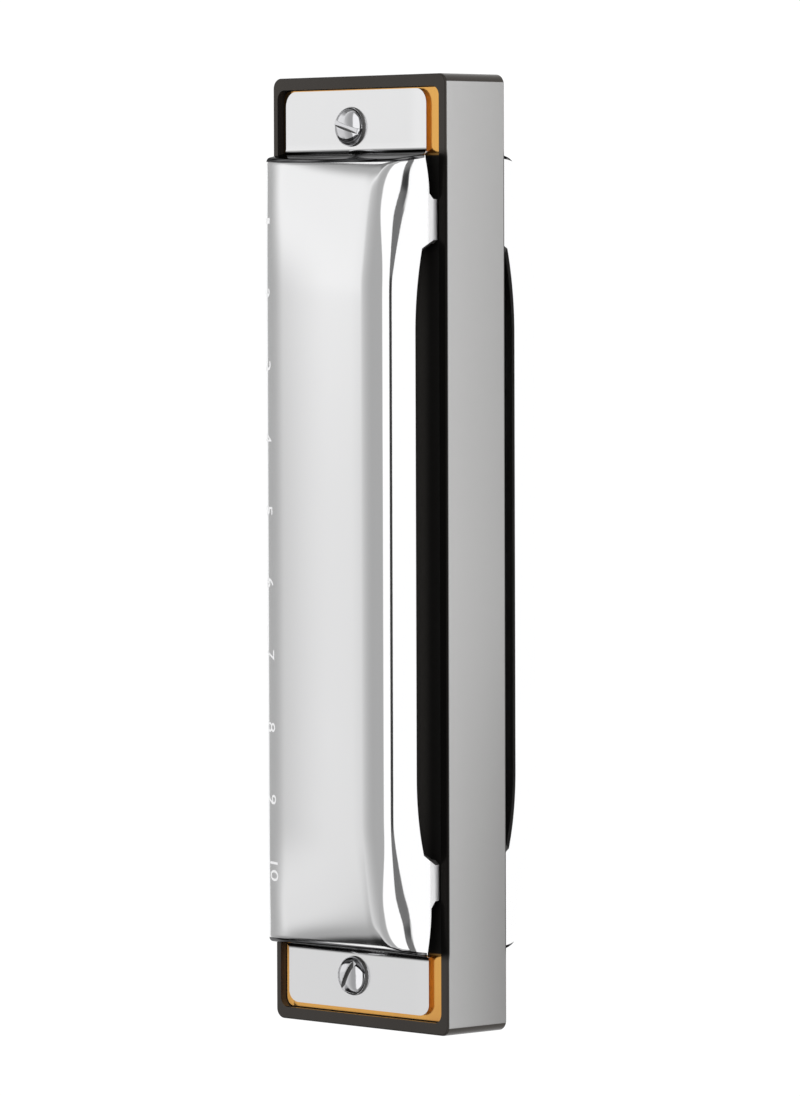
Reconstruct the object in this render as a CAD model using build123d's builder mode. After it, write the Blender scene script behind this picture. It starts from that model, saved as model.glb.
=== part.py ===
"""Ten-hole diatonic harmonica with a recessed comb.

The frame has its origin at the centre of the comb. +X runs from hole 1 to
hole 10, -Y is the mouth side, +Y is the back, and +Z is the blow side.
"""

import math
import os

from build123d import *

os.makedirs("parts", exist_ok=True)

# ---------------------------------------------------------------------------
# Driving dimensions, in millimetres and degrees
# ---------------------------------------------------------------------------

# Holes and their chambers
hole_count = 10
hole_pitch = 7.8
chamber_width = 5.4
chamber_height = 5.16
mouth_hole_width = 5.2
mouth_hole_height = 4.6
mouth_hole_radius = 0.6
front_bar = 3.6  # from the mouth face to the chambers
rear_bar = 4.5  # from the longest chamber to the back face
end_block = 13.2  # from an outer chamber to the end of the comb

# Comb rim and edges
rim_lip = 0.87  # how far the rim stands above a reed plate
rim_front = 0.75
rim_rear = 1.1
rim_end = 1.3
comb_corner_radius = 1.1
recess_corner_radius = 1.05
comb_edge_round = 0.22

# Reed plates
plate_thickness = 0.9
plate_fit = 0.1  # gap between a plate's edge and the rim

# Reeds: a pad riveted to the plate, and a tongue that swings in its slot
longest_blow_reed = 15.4
shortest_blow_reed = 8.2
longest_draw_reed = 14.6
shortest_draw_reed = 7.6
reed_width = 2.1
reed_thickness = 0.25
reed_rise = 0.12  # gap between a tongue at rest and its plate
slot_side_gap = 0.08
slot_tip_gap = 0.15
chamber_end_gap = 0.55  # from the blow slot's end to the chamber's rear wall
root_gap = 0.1  # between pad and tongue
pad_length = 2.2
pad_width = 3.0
pad_thickness = 0.5
pad_setback = 0.5  # from the chamber's front wall to the pad
rivet_radius = 0.55
rivet_fit = 0.05
rivet_head_radius = 0.95
rivet_crown_radius = 0.57
rivet_head_height = 0.3

# Screws that hold the reed plates to the comb
plate_screw_radius = 0.7
plate_screw_fit = 0.08
plate_screw_grip = 2.2  # how far each goes into the comb
plate_screw_head_radius = 1.35
plate_screw_head_height = 0.7
plate_screw_head_round = 0.35
plate_screw_slot_width = 0.4
plate_screw_slot_depth = 0.35
plate_screw_side_setback = 2.1  # from an outer chamber to the side screws
plate_screw_row_half = 6.3  # side screws, before and behind the middle

# Covers: drawn sheet with a flat tab at each end
sheet = 0.4
cover_front_gap = 0.45  # from the front rim to the front wall
cover_rear_gap = 0.55  # from the rear rim to the rear wall
cover_front_height = 3.0  # corner heights above the rim
cover_rear_height = 7.75
cover_end_front_height = 2.65
cover_end_rear_height = 5.3
cover_crown = 0.5  # how far the top bows up between its corners
cover_end_crown = 0.035
cover_front_radius = 2.2
cover_end_front_radius = 0.8
cover_shoulder_radius = 1.9
shoulder_reach = 14.5  # length over which the rear shoulder arches up
shoulder_power = 1.1
corner_drop = 0.45  # further drop of the shoulder towards the corner of a tab
corner_drop_reach = 1.5
front_reach = 3.0  # the same for the front corner
waist = 1.85  # how far the rear wall pulls in at each end, to the tab
waist_reach = 1.3
end_wall_run = 0.97  # the end wall's slope, along the length
end_wall_step = 0.13  # height of the hollow where the end wall starts
end_wall_round = 0.33  # its corners there, as a share of the height
station_reach = 20.0  # length of the shaped stretch at each end of the body
station_count = 12
tab_length = 6.5
tab_end_gap = 0.3  # from the end rim to the tab
tab_front_inset = 0.4  # from the front wall to the tab's front edge
tab_corner_radius = 1.5
opening_half_length = 32.5
opening_height = 2.98  # its edge above the rim, in the middle
opening_end_height = 1.96
opening_rise = 9.0  # length over which its edge climbs
opening_slant = 0.9
foot_width = 4.3
foot_bend = 0.97  # outer radius of the foot's inward bend
foot_toe = 0.7  # flat part that rests on the plate
skirt_height = 0.7  # rear wall's lower edge beside the feet, above the rim

# Cover screws and nuts, one pair through each end
screw_radius = 1.05
screw_fit = 0.15
screw_head_radius = 2.13
screw_head_height = 1.2
screw_head_round = 1.0
screw_slot_width = 0.55
screw_slot_depth = 0.5
screw_slot_angles = (73, 150)  # as they were last tightened, low end first
screw_tab_setback = 3.8  # from a tab's outer edge to the screw
screw_forward = 0.7  # from the middle of a tab, towards the mouth
nut_flats = 4.0
nut_height = 1.6
screw_end = 0.4  # thread that shows past the nut

cut_over = 1.0  # how far a cut runs past what it cuts

# ---------------------------------------------------------------------------
# Places worked out from them
# ---------------------------------------------------------------------------

root_setback = front_bar + pad_setback + pad_length + root_gap
comb_length = (hole_count - 1) * hole_pitch + chamber_width + 2 * end_block
comb_depth = root_setback + longest_blow_reed + slot_tip_gap + chamber_end_gap + rear_bar
comb_thickness = chamber_height + 2 * (plate_thickness + rim_lip)

half_length = comb_length / 2
mouth_y = -comb_depth / 2
back_y = comb_depth / 2
rim_z = comb_thickness / 2
plate_top = rim_z - rim_lip
plate_floor = plate_top - plate_thickness

recess_half = half_length - rim_end
recess_front = mouth_y + rim_front
recess_rear = back_y - rim_rear
recess_depth = recess_rear - recess_front
recess_middle = (recess_rear + recess_front) / 2

chamber_front = mouth_y + front_bar
pad_y = chamber_front + pad_setback + pad_length / 2
root_y = mouth_y + root_setback

tab_outer = recess_half - tab_end_gap
tab_inner = tab_outer - tab_length
body_half = tab_inner - end_wall_run
wall_front = recess_front + cover_front_gap
wall_rear = recess_rear - cover_rear_gap
tab_front = wall_front + tab_front_inset
tab_rear = wall_rear - waist
screw_x = tab_outer - screw_tab_setback
tab_middle = (tab_front + tab_rear) / 2
screw_y = tab_middle - screw_forward

outer_chamber = (hole_count - 1) / 2 * hole_pitch + chamber_width / 2
plate_screw_x = outer_chamber + plate_screw_side_setback
plate_screw_spots = [
    (-plate_screw_x, -plate_screw_row_half),
    (plate_screw_x, -plate_screw_row_half),
    (-plate_screw_x, plate_screw_row_half),
    (plate_screw_x, plate_screw_row_half),
    (0, root_y + longest_draw_reed / 2 + shortest_blow_reed / 2),
]
cover_screw_spots = [(-screw_x, screw_y), (screw_x, screw_y)]


def hole_x(index):
    """Middle of a hole, counted from 0 at the low end."""
    return (index - (hole_count - 1) / 2) * hole_pitch


def graded(longest, shortest, index):
    """Reed length of a hole, from the longest to the shortest in even steps."""
    return longest + (shortest - longest) * index / (hole_count - 1)


blow_reeds = [graded(longest_blow_reed, shortest_blow_reed, i) for i in range(hole_count)]
draw_reeds = [graded(longest_draw_reed, shortest_draw_reed, i) for i in range(hole_count)]


def keep(name, piece):
    """Labels a finished piece and writes its STEP file."""
    piece.part.label = name
    export_step(piece.part, f"parts/{name}.step")


# ---------------------------------------------------------------------------
# Comb
# ---------------------------------------------------------------------------

with BuildPart() as comb:
    with BuildSketch(Plane.XY.offset(-rim_z)):
        RectangleRounded(comb_length, comb_depth, comb_corner_radius)
    extrude(amount=comb_thickness)
    ends = comb.faces().filter_by(Axis.Z)
    fillet(ends.edges(), comb_edge_round)
    # A recess on each face takes a reed plate.
    for face_z, depth in ((rim_z, -1), (-rim_z, 1)):
        with BuildSketch(Plane.XY.offset(face_z)):
            with Locations((0, recess_middle)):
                RectangleRounded(2 * recess_half, recess_depth, recess_corner_radius)
        extrude(amount=depth * (plate_thickness + rim_lip), mode=Mode.SUBTRACT)
    # Chambers run from recess to recess, and shorten towards the high end.
    with BuildSketch(Plane.XY.offset(-plate_floor)):
        for i, blow in enumerate(blow_reeds):
            length = root_y + blow + slot_tip_gap + chamber_end_gap - chamber_front
            with Locations((hole_x(i), chamber_front + length / 2)):
                Rectangle(chamber_width, length)
    extrude(amount=chamber_height, mode=Mode.SUBTRACT)
    # Mouth holes lead into the chambers.
    with BuildSketch(Plane.XZ.offset(-mouth_y)):
        with Locations(*[(hole_x(i), 0) for i in range(hole_count)]):
            RectangleRounded(mouth_hole_width, mouth_hole_height, mouth_hole_radius)
    extrude(amount=-front_bar, mode=Mode.SUBTRACT)
    # Clearance holes for the cover screws, and blind holes for the plate screws.
    with BuildSketch(Plane.XY.offset(-plate_floor)):
        with Locations(*cover_screw_spots):
            Circle(screw_radius + screw_fit)
    extrude(amount=chamber_height, mode=Mode.SUBTRACT)
    for floor_z, way in ((plate_floor, -1), (-plate_floor, 1)):
        with BuildSketch(Plane.XY.offset(floor_z)):
            with Locations(*plate_screw_spots):
                Circle(plate_screw_radius)
        extrude(amount=way * plate_screw_grip, mode=Mode.SUBTRACT)
keep("comb", comb)


# ---------------------------------------------------------------------------
# Reed plates, reeds, rivets and plate screws
# ---------------------------------------------------------------------------


def make_reed_plate(name, reeds, low_z):
    """Brass plate with one slot for each reed and holes for rivets and screws."""
    with BuildPart() as plate:
        with BuildSketch(Plane.XY.offset(low_z)):
            with Locations((0, recess_middle)):
                RectangleRounded(
                    2 * (recess_half - plate_fit),
                    recess_depth - 2 * plate_fit,
                    recess_corner_radius - plate_fit,
                )
            for i, length in enumerate(reeds):
                slot = length + root_gap + slot_tip_gap
                with Locations((hole_x(i), root_y - root_gap + slot / 2)):
                    Rectangle(reed_width + 2 * slot_side_gap, slot, mode=Mode.SUBTRACT)
            with Locations(*[(hole_x(i), pad_y) for i in range(hole_count)]):
                Circle(rivet_radius + rivet_fit, mode=Mode.SUBTRACT)
            with Locations(*plate_screw_spots):
                Circle(plate_screw_radius + plate_screw_fit, mode=Mode.SUBTRACT)
            with Locations(*cover_screw_spots):
                Circle(screw_radius + screw_fit, mode=Mode.SUBTRACT)
        extrude(amount=plate_thickness)
    keep(name, plate)


def make_pads(name, seat_z):
    """The fixed ends of ten reeds, hanging below seat_z, each with its rivet hole."""
    with BuildPart() as pads:
        with BuildSketch(Plane.XY.offset(seat_z)):
            with Locations(*[(hole_x(i), pad_y) for i in range(hole_count)]):
                Rectangle(pad_width, pad_length)
                Circle(rivet_radius + rivet_fit, mode=Mode.SUBTRACT)
        extrude(amount=-pad_thickness)
    keep(name, pads)


def make_rivet(seat_z):
    """One rivet on the Z axis, through a pad that hangs below a plate at seat_z."""
    pad_face = seat_z - pad_thickness
    plate_face = seat_z + plate_thickness
    with BuildPart() as rivet:
        with BuildSketch(Plane.XZ):
            with BuildLine():
                Polyline(
                    (0, pad_face - rivet_head_height),
                    (rivet_crown_radius, pad_face - rivet_head_height),
                    (rivet_head_radius, pad_face),
                    (rivet_radius, pad_face),
                    (rivet_radius, plate_face),
                    (rivet_head_radius, plate_face),
                    (rivet_crown_radius, plate_face + rivet_head_height),
                    (0, plate_face + rivet_head_height),
                    close=True,
                )
            make_face()
        revolve(axis=Axis.Z)
    return rivet.part


def make_rivets(name, seat_z):
    """The rivets of a whole plate."""
    with BuildPart() as rivets:
        with Locations(*[(hole_x(i), pad_y) for i in range(hole_count)]):
            add(make_rivet(seat_z))
    keep(name, rivets)


def make_tongue(name, index, length, seat_z):
    """One swinging reed, lying just below a plate whose lower face is seat_z."""
    with BuildPart() as tongue:
        with BuildSketch(Plane.XY.offset(seat_z - reed_rise)):
            with Locations((hole_x(index), root_y + length / 2)):
                Rectangle(reed_width, length)
        extrude(amount=-reed_thickness)
    keep(name, tongue)


make_reed_plate("upper_reed_plate", blow_reeds, plate_floor)
make_reed_plate("lower_reed_plate", draw_reeds, -plate_top)
make_pads("blow_reed_pads", plate_floor)
make_pads("draw_reed_pads", -plate_top)
make_rivets("blow_reed_rivets", plate_floor)
make_rivets("draw_reed_rivets", -plate_top)
for i in range(hole_count):
    make_tongue(f"blow_reed_{i + 1:02d}", i, blow_reeds[i], plate_floor)
    make_tongue(f"draw_reed_{i + 1:02d}", i, draw_reeds[i], -plate_top)

with BuildPart() as upper_plate_screws:
    with BuildSketch(Plane.XY.offset(plate_floor - plate_screw_grip)):
        with Locations(*plate_screw_spots):
            Circle(plate_screw_radius)
    extrude(amount=plate_screw_grip + plate_thickness)
    with BuildSketch(Plane.XY.offset(plate_top)):
        with Locations(*plate_screw_spots):
            Circle(plate_screw_head_radius)
    extrude(amount=plate_screw_head_height)
    fillet(
        upper_plate_screws.edges().filter_by(GeomType.CIRCLE).group_by(Axis.Z)[-1],
        plate_screw_head_round,
    )
    with BuildSketch(Plane.XY.offset(plate_top + plate_screw_head_height)):
        with Locations(*plate_screw_spots):
            Rectangle(2 * (plate_screw_head_radius + cut_over), plate_screw_slot_width)
    extrude(amount=-plate_screw_slot_depth, mode=Mode.SUBTRACT)
keep("upper_plate_screws", upper_plate_screws)

with BuildPart() as lower_plate_screws:
    mirror(upper_plate_screws.part, about=Plane.XY)
keep("lower_plate_screws", lower_plate_screws)


# ---------------------------------------------------------------------------
# Covers
# ---------------------------------------------------------------------------


def eased(end_value, middle_value, reach, distance):
    """A size that goes from its value at the body's end to that in the middle."""
    return middle_value + (end_value - middle_value) * math.exp(-distance / reach)


def shoulder_height(distance):
    """Height of the rear shoulder above the rim, which arches up from each end."""
    still_to_rise = max(0, 1 - distance / shoulder_reach) ** shoulder_power
    arch = cover_rear_height + (cover_end_rear_height - cover_rear_height) * still_to_rise
    return arch - eased(corner_drop, 0, corner_drop_reach, distance)


def rear_wall_y(distance):
    """Place of the rear wall's outer face, which pulls in a little at each end."""
    return eased(tab_rear, wall_rear, waist_reach, distance)


def drawn_section(x, front, rear, front_top, rear_top, crown, front_radius, rear_radius):
    """One closed cross section across the length at x, standing on the plate."""
    with BuildSketch(Plane.YZ.offset(x)) as section:
        with BuildLine():
            Polyline(
                (rear, rear_top), (rear, plate_top), (front, plate_top), (front, front_top)
            )
            ThreePointArc(
                (front, front_top),
                ((front + rear) / 2, (front_top + rear_top) / 2 + crown),
                (rear, rear_top),
            )
        make_face()
        fillet(section.vertices().group_by(Axis.X)[0].sort_by(Axis.Y)[-1], front_radius)
        fillet(section.vertices().group_by(Axis.X)[-1].sort_by(Axis.Y)[-1], rear_radius)
    return section.sketch.face()


def body_section(distance, side, inset):
    """The body's section at a distance from its end, shrunk by inset on every side."""
    end_x = side * (body_half - inset)
    x = end_x - side * distance
    return drawn_section(
        x,
        wall_front + inset,
        rear_wall_y(distance) - inset,
        rim_z - inset + eased(cover_end_front_height, cover_front_height, front_reach, distance),
        rim_z - inset + shoulder_height(distance),
        eased(cover_end_crown, cover_crown, front_reach, distance),
        eased(cover_end_front_radius, cover_front_radius, front_reach, distance) - inset,
        cover_shoulder_radius - inset,
    )


def low_section(x, height, inset):
    """The end wall's foot, where it turns into the tab."""
    top = plate_top + height
    radius = end_wall_round * height
    return drawn_section(
        x, tab_front + inset, tab_rear - inset, top, top, cover_end_crown, radius, radius
    )


# Sections stand closest together at the ends, where the shape changes fastest.
station_steps = [station_reach * (i / station_count) ** 2 for i in range(station_count + 1)]
foot_inner = opening_half_length + opening_slant
foot_outer = foot_inner + foot_width
foot_y = rear_wall_y(body_half - foot_outer)
bend_z = plate_top + foot_bend

with BuildPart() as top_cover:
    # The domed body with its sloping end walls, then the same shape hollowed out.
    for inset, mode, low in ((0, Mode.ADD, sheet), (sheet, Mode.SUBTRACT, end_wall_step)):
        low_end = [low_section(inset - tab_inner, low, inset)]
        low_end += [body_section(step, -1, inset) for step in station_steps]
        high_end = [body_section(step, 1, inset) for step in reversed(station_steps)]
        high_end += [low_section(tab_inner - inset, low, inset)]
        loft(low_end + high_end, ruled=True, mode=mode)
    # Tabs, with the corners away from the body rounded.
    for side in (-1, 1):
        with BuildSketch(Plane.XY.offset(plate_top)) as tab:
            with Locations((side * (tab_outer + tab_inner - sheet) / 2, tab_middle)):
                Rectangle(tab_length + sheet, tab_rear - tab_front)
            by_length = tab.vertices().sort_by(Axis.X)
            fillet(by_length[-2:] if side > 0 else by_length[:2], tab_corner_radius)
        extrude(amount=sheet)
    with BuildSketch(Plane.XY.offset(plate_top)):
        with Locations(*cover_screw_spots):
            Circle(screw_radius + screw_fit)
    extrude(amount=sheet, mode=Mode.SUBTRACT)
    # The rear wall is open in the middle, and clears the plate beside the feet.
    cut_front = tab_rear - sheet - cut_over
    with BuildSketch(Plane.XZ.offset(-cut_front)):
        with BuildLine():
            knee_x = opening_half_length - opening_rise
            knee_z = rim_z + opening_height
            corner_z = rim_z + opening_end_height
            TangentArc((knee_x, knee_z), (opening_half_length, corner_z), tangent=(1, 0))
            Polyline(
                (opening_half_length, corner_z),
                (foot_inner, bend_z),
                (foot_inner, plate_top),
                (-foot_inner, plate_top),
                (-foot_inner, bend_z),
                (-opening_half_length, corner_z),
            )
            TangentArc((-knee_x, knee_z), (-opening_half_length, corner_z), tangent=(-1, 0))
            Line((-knee_x, knee_z), (knee_x, knee_z))
        make_face()
        for side in (-1, 1):
            middle = side * (body_half + foot_inner) / 2
            with Locations((middle, (rim_z + skirt_height + plate_top) / 2)):
                Rectangle(body_half - foot_inner, rim_z + skirt_height - plate_top)
    extrude(amount=-(wall_rear - cut_front + cut_over), mode=Mode.SUBTRACT)
    # Each foot drops from the rear wall and bends in to rest on the plate.
    for side in (-1, 1):
        with BuildSketch(Plane.YZ.offset(side * (foot_inner + foot_width / 2))):
            with BuildLine():
                bend_y = foot_y - foot_bend
                toe_y = bend_y - foot_toe
                foot_top = rim_z + skirt_height + sheet
                CenterArc((bend_y, bend_z), foot_bend, 0, -90)
                CenterArc((bend_y, bend_z), foot_bend - sheet, 0, -90)
                Polyline(
                    (bend_y, plate_top),
                    (toe_y, plate_top),
                    (toe_y, plate_top + sheet),
                    (bend_y, plate_top + sheet),
                )
                Polyline(
                    (foot_y, bend_z),
                    (foot_y, foot_top),
                    (foot_y - sheet, foot_top),
                    (foot_y - sheet, bend_z),
                )
            make_face()
        extrude(amount=foot_width / 2, both=True)
keep("top_cover", top_cover)

with BuildPart() as bottom_cover:
    mirror(top_cover.part, about=Plane.XY)
keep("bottom_cover", bottom_cover)


# ---------------------------------------------------------------------------
# Cover screws and nuts
# ---------------------------------------------------------------------------

tab_top = plate_top + sheet


def make_cover_screw(name, spot, slot_angle):
    """Domed screw through both covers, with its slot turned by slot_angle."""
    tip_z = -tab_top - nut_height - screw_end
    with BuildPart() as screw:
        with BuildSketch(Plane.XY.offset(tip_z)):
            with Locations(spot):
                Circle(screw_radius)
        extrude(amount=tab_top - tip_z)
        with BuildSketch(Plane.XY.offset(tab_top)):
            with Locations(spot):
                Circle(screw_head_radius)
        extrude(amount=screw_head_height)
        rim = screw.edges().filter_by(GeomType.CIRCLE).sort_by(Axis.Z)[-1]
        fillet(rim, screw_head_round)
        with BuildSketch(Plane.XY.offset(tab_top + screw_head_height)):
            with Locations(Location((*spot, 0), slot_angle)):
                Rectangle(2 * (screw_head_radius + cut_over), screw_slot_width)
        extrude(amount=-screw_slot_depth, mode=Mode.SUBTRACT)
    keep(name, screw)


def make_cover_nut(name, spot):
    """Hexagon nut under a lower tab."""
    with BuildPart() as nut:
        with BuildSketch(Plane.XY.offset(-tab_top - nut_height)):
            with Locations(spot):
                RegularPolygon(nut_flats / 2, 6, major_radius=False)
                Circle(screw_radius, mode=Mode.SUBTRACT)
        extrude(amount=nut_height)
    keep(name, nut)


for name, spot, slot_angle in zip(("low", "high"), cover_screw_spots, screw_slot_angles):
    make_cover_screw(f"cover_screw_{name}_end", spot, slot_angle)
    make_cover_nut(f"cover_nut_{name}_end", spot)
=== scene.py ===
"""Looks of a diatonic harmonica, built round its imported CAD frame.

Everything is in metres, in the frame of the CAD model: the origin is at the
centre of the comb, +X runs towards the high notes, -Y is the mouth side, +Y is
the back and +Z is the side of the top cover.

The two drawn covers, the cover screws and their nuts are surfaces worked out
here, and stand for their CAD nodes. The etched hole numbers are added. Every
other piece is the CAD node itself with a finish of its own.
"""

from __future__ import annotations

import logging
import math
from dataclasses import dataclass, field
from enum import Enum

import bmesh
import bpy
import numpy as np
from mathutils import Matrix, Vector

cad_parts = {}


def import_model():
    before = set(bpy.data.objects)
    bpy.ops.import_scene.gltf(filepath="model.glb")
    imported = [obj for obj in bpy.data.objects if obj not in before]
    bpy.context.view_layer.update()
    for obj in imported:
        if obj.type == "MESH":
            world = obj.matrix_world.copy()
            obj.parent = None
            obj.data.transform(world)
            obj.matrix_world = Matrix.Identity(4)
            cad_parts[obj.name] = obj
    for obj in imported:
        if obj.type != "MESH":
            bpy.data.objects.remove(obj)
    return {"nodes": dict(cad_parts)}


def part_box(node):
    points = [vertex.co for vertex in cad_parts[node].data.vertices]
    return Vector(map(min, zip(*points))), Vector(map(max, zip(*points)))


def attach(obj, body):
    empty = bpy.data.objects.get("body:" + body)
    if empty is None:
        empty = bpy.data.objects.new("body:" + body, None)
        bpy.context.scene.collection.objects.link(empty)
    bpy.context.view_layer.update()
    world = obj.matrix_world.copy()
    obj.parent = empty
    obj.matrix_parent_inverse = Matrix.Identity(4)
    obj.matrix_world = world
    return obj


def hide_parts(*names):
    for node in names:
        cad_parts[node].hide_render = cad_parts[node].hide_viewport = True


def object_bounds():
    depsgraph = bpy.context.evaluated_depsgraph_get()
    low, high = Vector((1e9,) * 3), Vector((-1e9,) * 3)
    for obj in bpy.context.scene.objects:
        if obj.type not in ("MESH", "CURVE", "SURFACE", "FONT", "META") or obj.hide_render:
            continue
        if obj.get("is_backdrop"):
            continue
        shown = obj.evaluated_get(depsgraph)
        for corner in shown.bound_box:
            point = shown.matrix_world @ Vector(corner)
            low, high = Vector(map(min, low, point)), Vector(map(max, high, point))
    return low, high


Colour = tuple[float, float, float, float]
Triple = tuple[float, float, float]
Span = tuple[float, float]
Pair = tuple[np.ndarray, np.ndarray]

LOG = logging.getLogger("harmonica")
MM = 0.001
MERGE_DISTANCE = 0.0005 * MM
SHARP_DEGREES = 32.0
ROUNDED_DEGREES = 50.0


class Slot(Enum):
    """Material slot names for the new pieces, which nothing in this script uses."""

    COVER = "cover_chrome"
    SCREW = "screw_chrome"


class Side(Enum):
    """The two faces of the comb, as the sign of their Z."""

    TOP = 1
    BOTTOM = -1


# ---------------------------------------------------------------------------
# Shader arithmetic
# ---------------------------------------------------------------------------


class Wire:
    """A node's output that takes part in arithmetic, one Math node per operator."""

    def __init__(self, tree: Tree, socket: bpy.types.NodeSocket) -> None:
        """Wraps an output.

        Args:
            tree: The node tree that holds the output.
            socket: The output itself.
        """
        self.tree = tree
        self.socket = socket

    def _join(self, operation: str, first: Wire | float, second: Wire | float) -> Wire:
        """Adds one Math node on two values, and returns its result."""
        return self.tree.add("ShaderNodeMath", {"operation": operation}, {0: first, 1: second})

    def __add__(self, other: Wire | float) -> Wire:
        """The sum."""
        return self._join("ADD", self, other)

    def __radd__(self, other: float) -> Wire:
        """The sum, where the other value comes first."""
        return self._join("ADD", other, self)

    def __sub__(self, other: Wire | float) -> Wire:
        """The difference."""
        return self._join("SUBTRACT", self, other)

    def __rsub__(self, other: float) -> Wire:
        """The difference, where the other value comes first."""
        return self._join("SUBTRACT", other, self)

    def __mul__(self, other: Wire | float) -> Wire:
        """The product."""
        return self._join("MULTIPLY", self, other)

    def __truediv__(self, other: Wire | float) -> Wire:
        """The quotient."""
        return self._join("DIVIDE", self, other)

    def __abs__(self) -> Wire:
        """The absolute value."""
        return self._join("ABSOLUTE", self, 0.0)

    def at_most(self, other: Wire | float) -> Wire:
        """The smaller of the two."""
        return self._join("MINIMUM", self, other)

    def at_least(self, other: Wire | float) -> Wire:
        """The larger of the two."""
        return self._join("MAXIMUM", self, other)

    def ramp(self, low: float, high: float) -> Wire:
        """A smooth step from 0 at low to 1 at high, or the other way if low is above high.

        Args:
            low: The value where the step starts.
            high: The value where it ends.

        Returns:
            A number from 0 to 1.
        """
        rising = low < high
        settings = {"interpolation_type": "SMOOTHSTEP"}
        inputs = {
            "Value": self,
            "From Min": low if rising else high,
            "From Max": high if rising else low,
            "To Min": 0.0 if rising else 1.0,
            "To Max": 1.0 if rising else 0.0,
        }
        return self.tree.add("ShaderNodeMapRange", settings, inputs)


class Tree:
    """A node tree that is written as expressions."""

    def __init__(self, owner: bpy.types.Material | bpy.types.World) -> None:
        """Empties the owner's node tree and takes it over.

        Args:
            owner: The material or world whose nodes are written.
        """
        owner.use_nodes = True
        self.nodes = owner.node_tree.nodes
        self.links = owner.node_tree.links
        self.nodes.clear()

    def add(
        self,
        kind: str,
        settings: dict[str, object] | None = None,
        inputs: dict[str | int, object] | None = None,
        output: str | int = 0,
    ) -> Wire:
        """Adds any node.

        Args:
            kind: The node's type.
            settings: Its settings, with a colour ramp's stops as "stops".
            inputs: The values of its sockets, or the wires that lead to them.
            output: The output that is returned.

        Returns:
            The chosen output.
        """
        node = self.nodes.new(kind)
        for name, value in (settings or {}).items():
            if name == "stops":
                self._set_stops(node.color_ramp, value)
            else:
                setattr(node, name, value)
        for key, value in (inputs or {}).items():
            if isinstance(value, Wire):
                self.links.new(value.socket, node.inputs[key])
            else:
                node.inputs[key].default_value = value
        return Wire(self, node.outputs[output])

    @staticmethod
    def _set_stops(ramp: bpy.types.ColorRamp, stops: list[tuple[float, Colour]]) -> None:
        """Gives a colour ramp its stops.

        Args:
            ramp: The ramp.
            stops: The place and the colour of each stop.
        """
        while len(ramp.elements) < len(stops):
            ramp.elements.new(1.0)
        for element, (position, colour) in zip(ramp.elements, stops):
            element.position = position
            element.color = colour

    def axis(self, vector: Wire, name: str) -> Wire:
        """One coordinate of a vector, chosen by its name, X, Y or Z."""
        return self.add("ShaderNodeSeparateXYZ", None, {0: vector}, name)

    def here(self) -> Wire:
        """The place on the piece, in the object's own coordinates."""
        return self.add("ShaderNodeTexCoord", None, None, "Object")

    def noise(self, place: Wire, scale: Triple, detail: float) -> Wire:
        """Smooth noise from 0 to 1.

        Args:
            place: Where it is read.
            scale: Cycles in a metre along each axis.
            detail: How many finer octaves are added.

        Returns:
            The noise.
        """
        stretch = {"Vector": place, "Scale": scale}
        stretched = self.add("ShaderNodeMapping", {"vector_type": "POINT"}, stretch)
        return self.add("ShaderNodeTexNoise", None, {"Vector": stretched, "Scale": 1.0, "Detail": detail})

    def arc_tangent(self, rise: Wire, run: Wire) -> Wire:
        """The direction of a slope in degrees, from -180 to 180."""
        return self.add("ShaderNodeMath", {"operation": "ARCTAN2"}, {0: rise, 1: run}) * (180.0 / math.pi)

    def ray(self, kind: str) -> Wire:
        """1 where the light path is of one kind, such as "Is Camera Ray"."""
        return self.add("ShaderNodeLightPath", None, None, kind)

    def blend(self, share: Wire | float, first: Wire, second: Wire) -> Wire:
        """A shader between two others."""
        return self.add("ShaderNodeMixShader", None, {0: share, 1: first, 2: second})

    def mix(self, share: Wire | float, first: object, second: object) -> Wire:
        """A colour between two others.

        Args:
            share: 0 for the first, 1 for the second.
            first: A colour or a wire.
            second: A colour or a wire.

        Returns:
            The mixed colour.
        """
        node = self.nodes.new("ShaderNodeMix")
        node.data_type = "RGBA"
        for key, value in ((0, share), (6, first), (7, second)):
            if isinstance(value, Wire):
                self.links.new(value.socket, node.inputs[key])
            else:
                node.inputs[key].default_value = value
        return Wire(self, node.outputs[2])

    def bump(self, height: Wire, distance: float) -> Wire:
        """A normal that follows a height, where a height of 1 stands for the distance."""
        return self.add("ShaderNodeBump", None, {"Height": height, "Distance": distance, "Strength": 1.0})

    def surface(
        self,
        colour: Wire | Colour,
        metal: Wire | float,
        rough: Wire | float,
        normal: Wire | None = None,
        edge: Colour | None = None,
    ) -> Wire:
        """A Principled shader.

        Args:
            colour: Its base colour.
            metal: 0 for paint or plastic, 1 for bare metal.
            rough: Its roughness.
            normal: The normal of its relief, or None where it is smooth.
            edge: Its tint where it is seen at a shallow angle, or None for white.

        Returns:
            The shader.
        """
        inputs = {"Base Color": colour, "Metallic": metal, "Roughness": rough}
        if normal is not None:
            inputs["Normal"] = normal
        if edge is not None:
            inputs["Specular Tint"] = edge
        return self.add("ShaderNodeBsdfPrincipled", None, inputs)

    def add_output(self, kind: str, shader: Wire) -> None:
        """Leads a shader to the tree's output node."""
        node = self.nodes.new(kind)
        self.links.new(shader.socket, node.inputs["Surface"])


def opaque(red: float, green: float, blue: float) -> Colour:
    """A colour with full alpha."""
    return (red, green, blue, 1.0)


# ---------------------------------------------------------------------------
# Finishes
# ---------------------------------------------------------------------------


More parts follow.
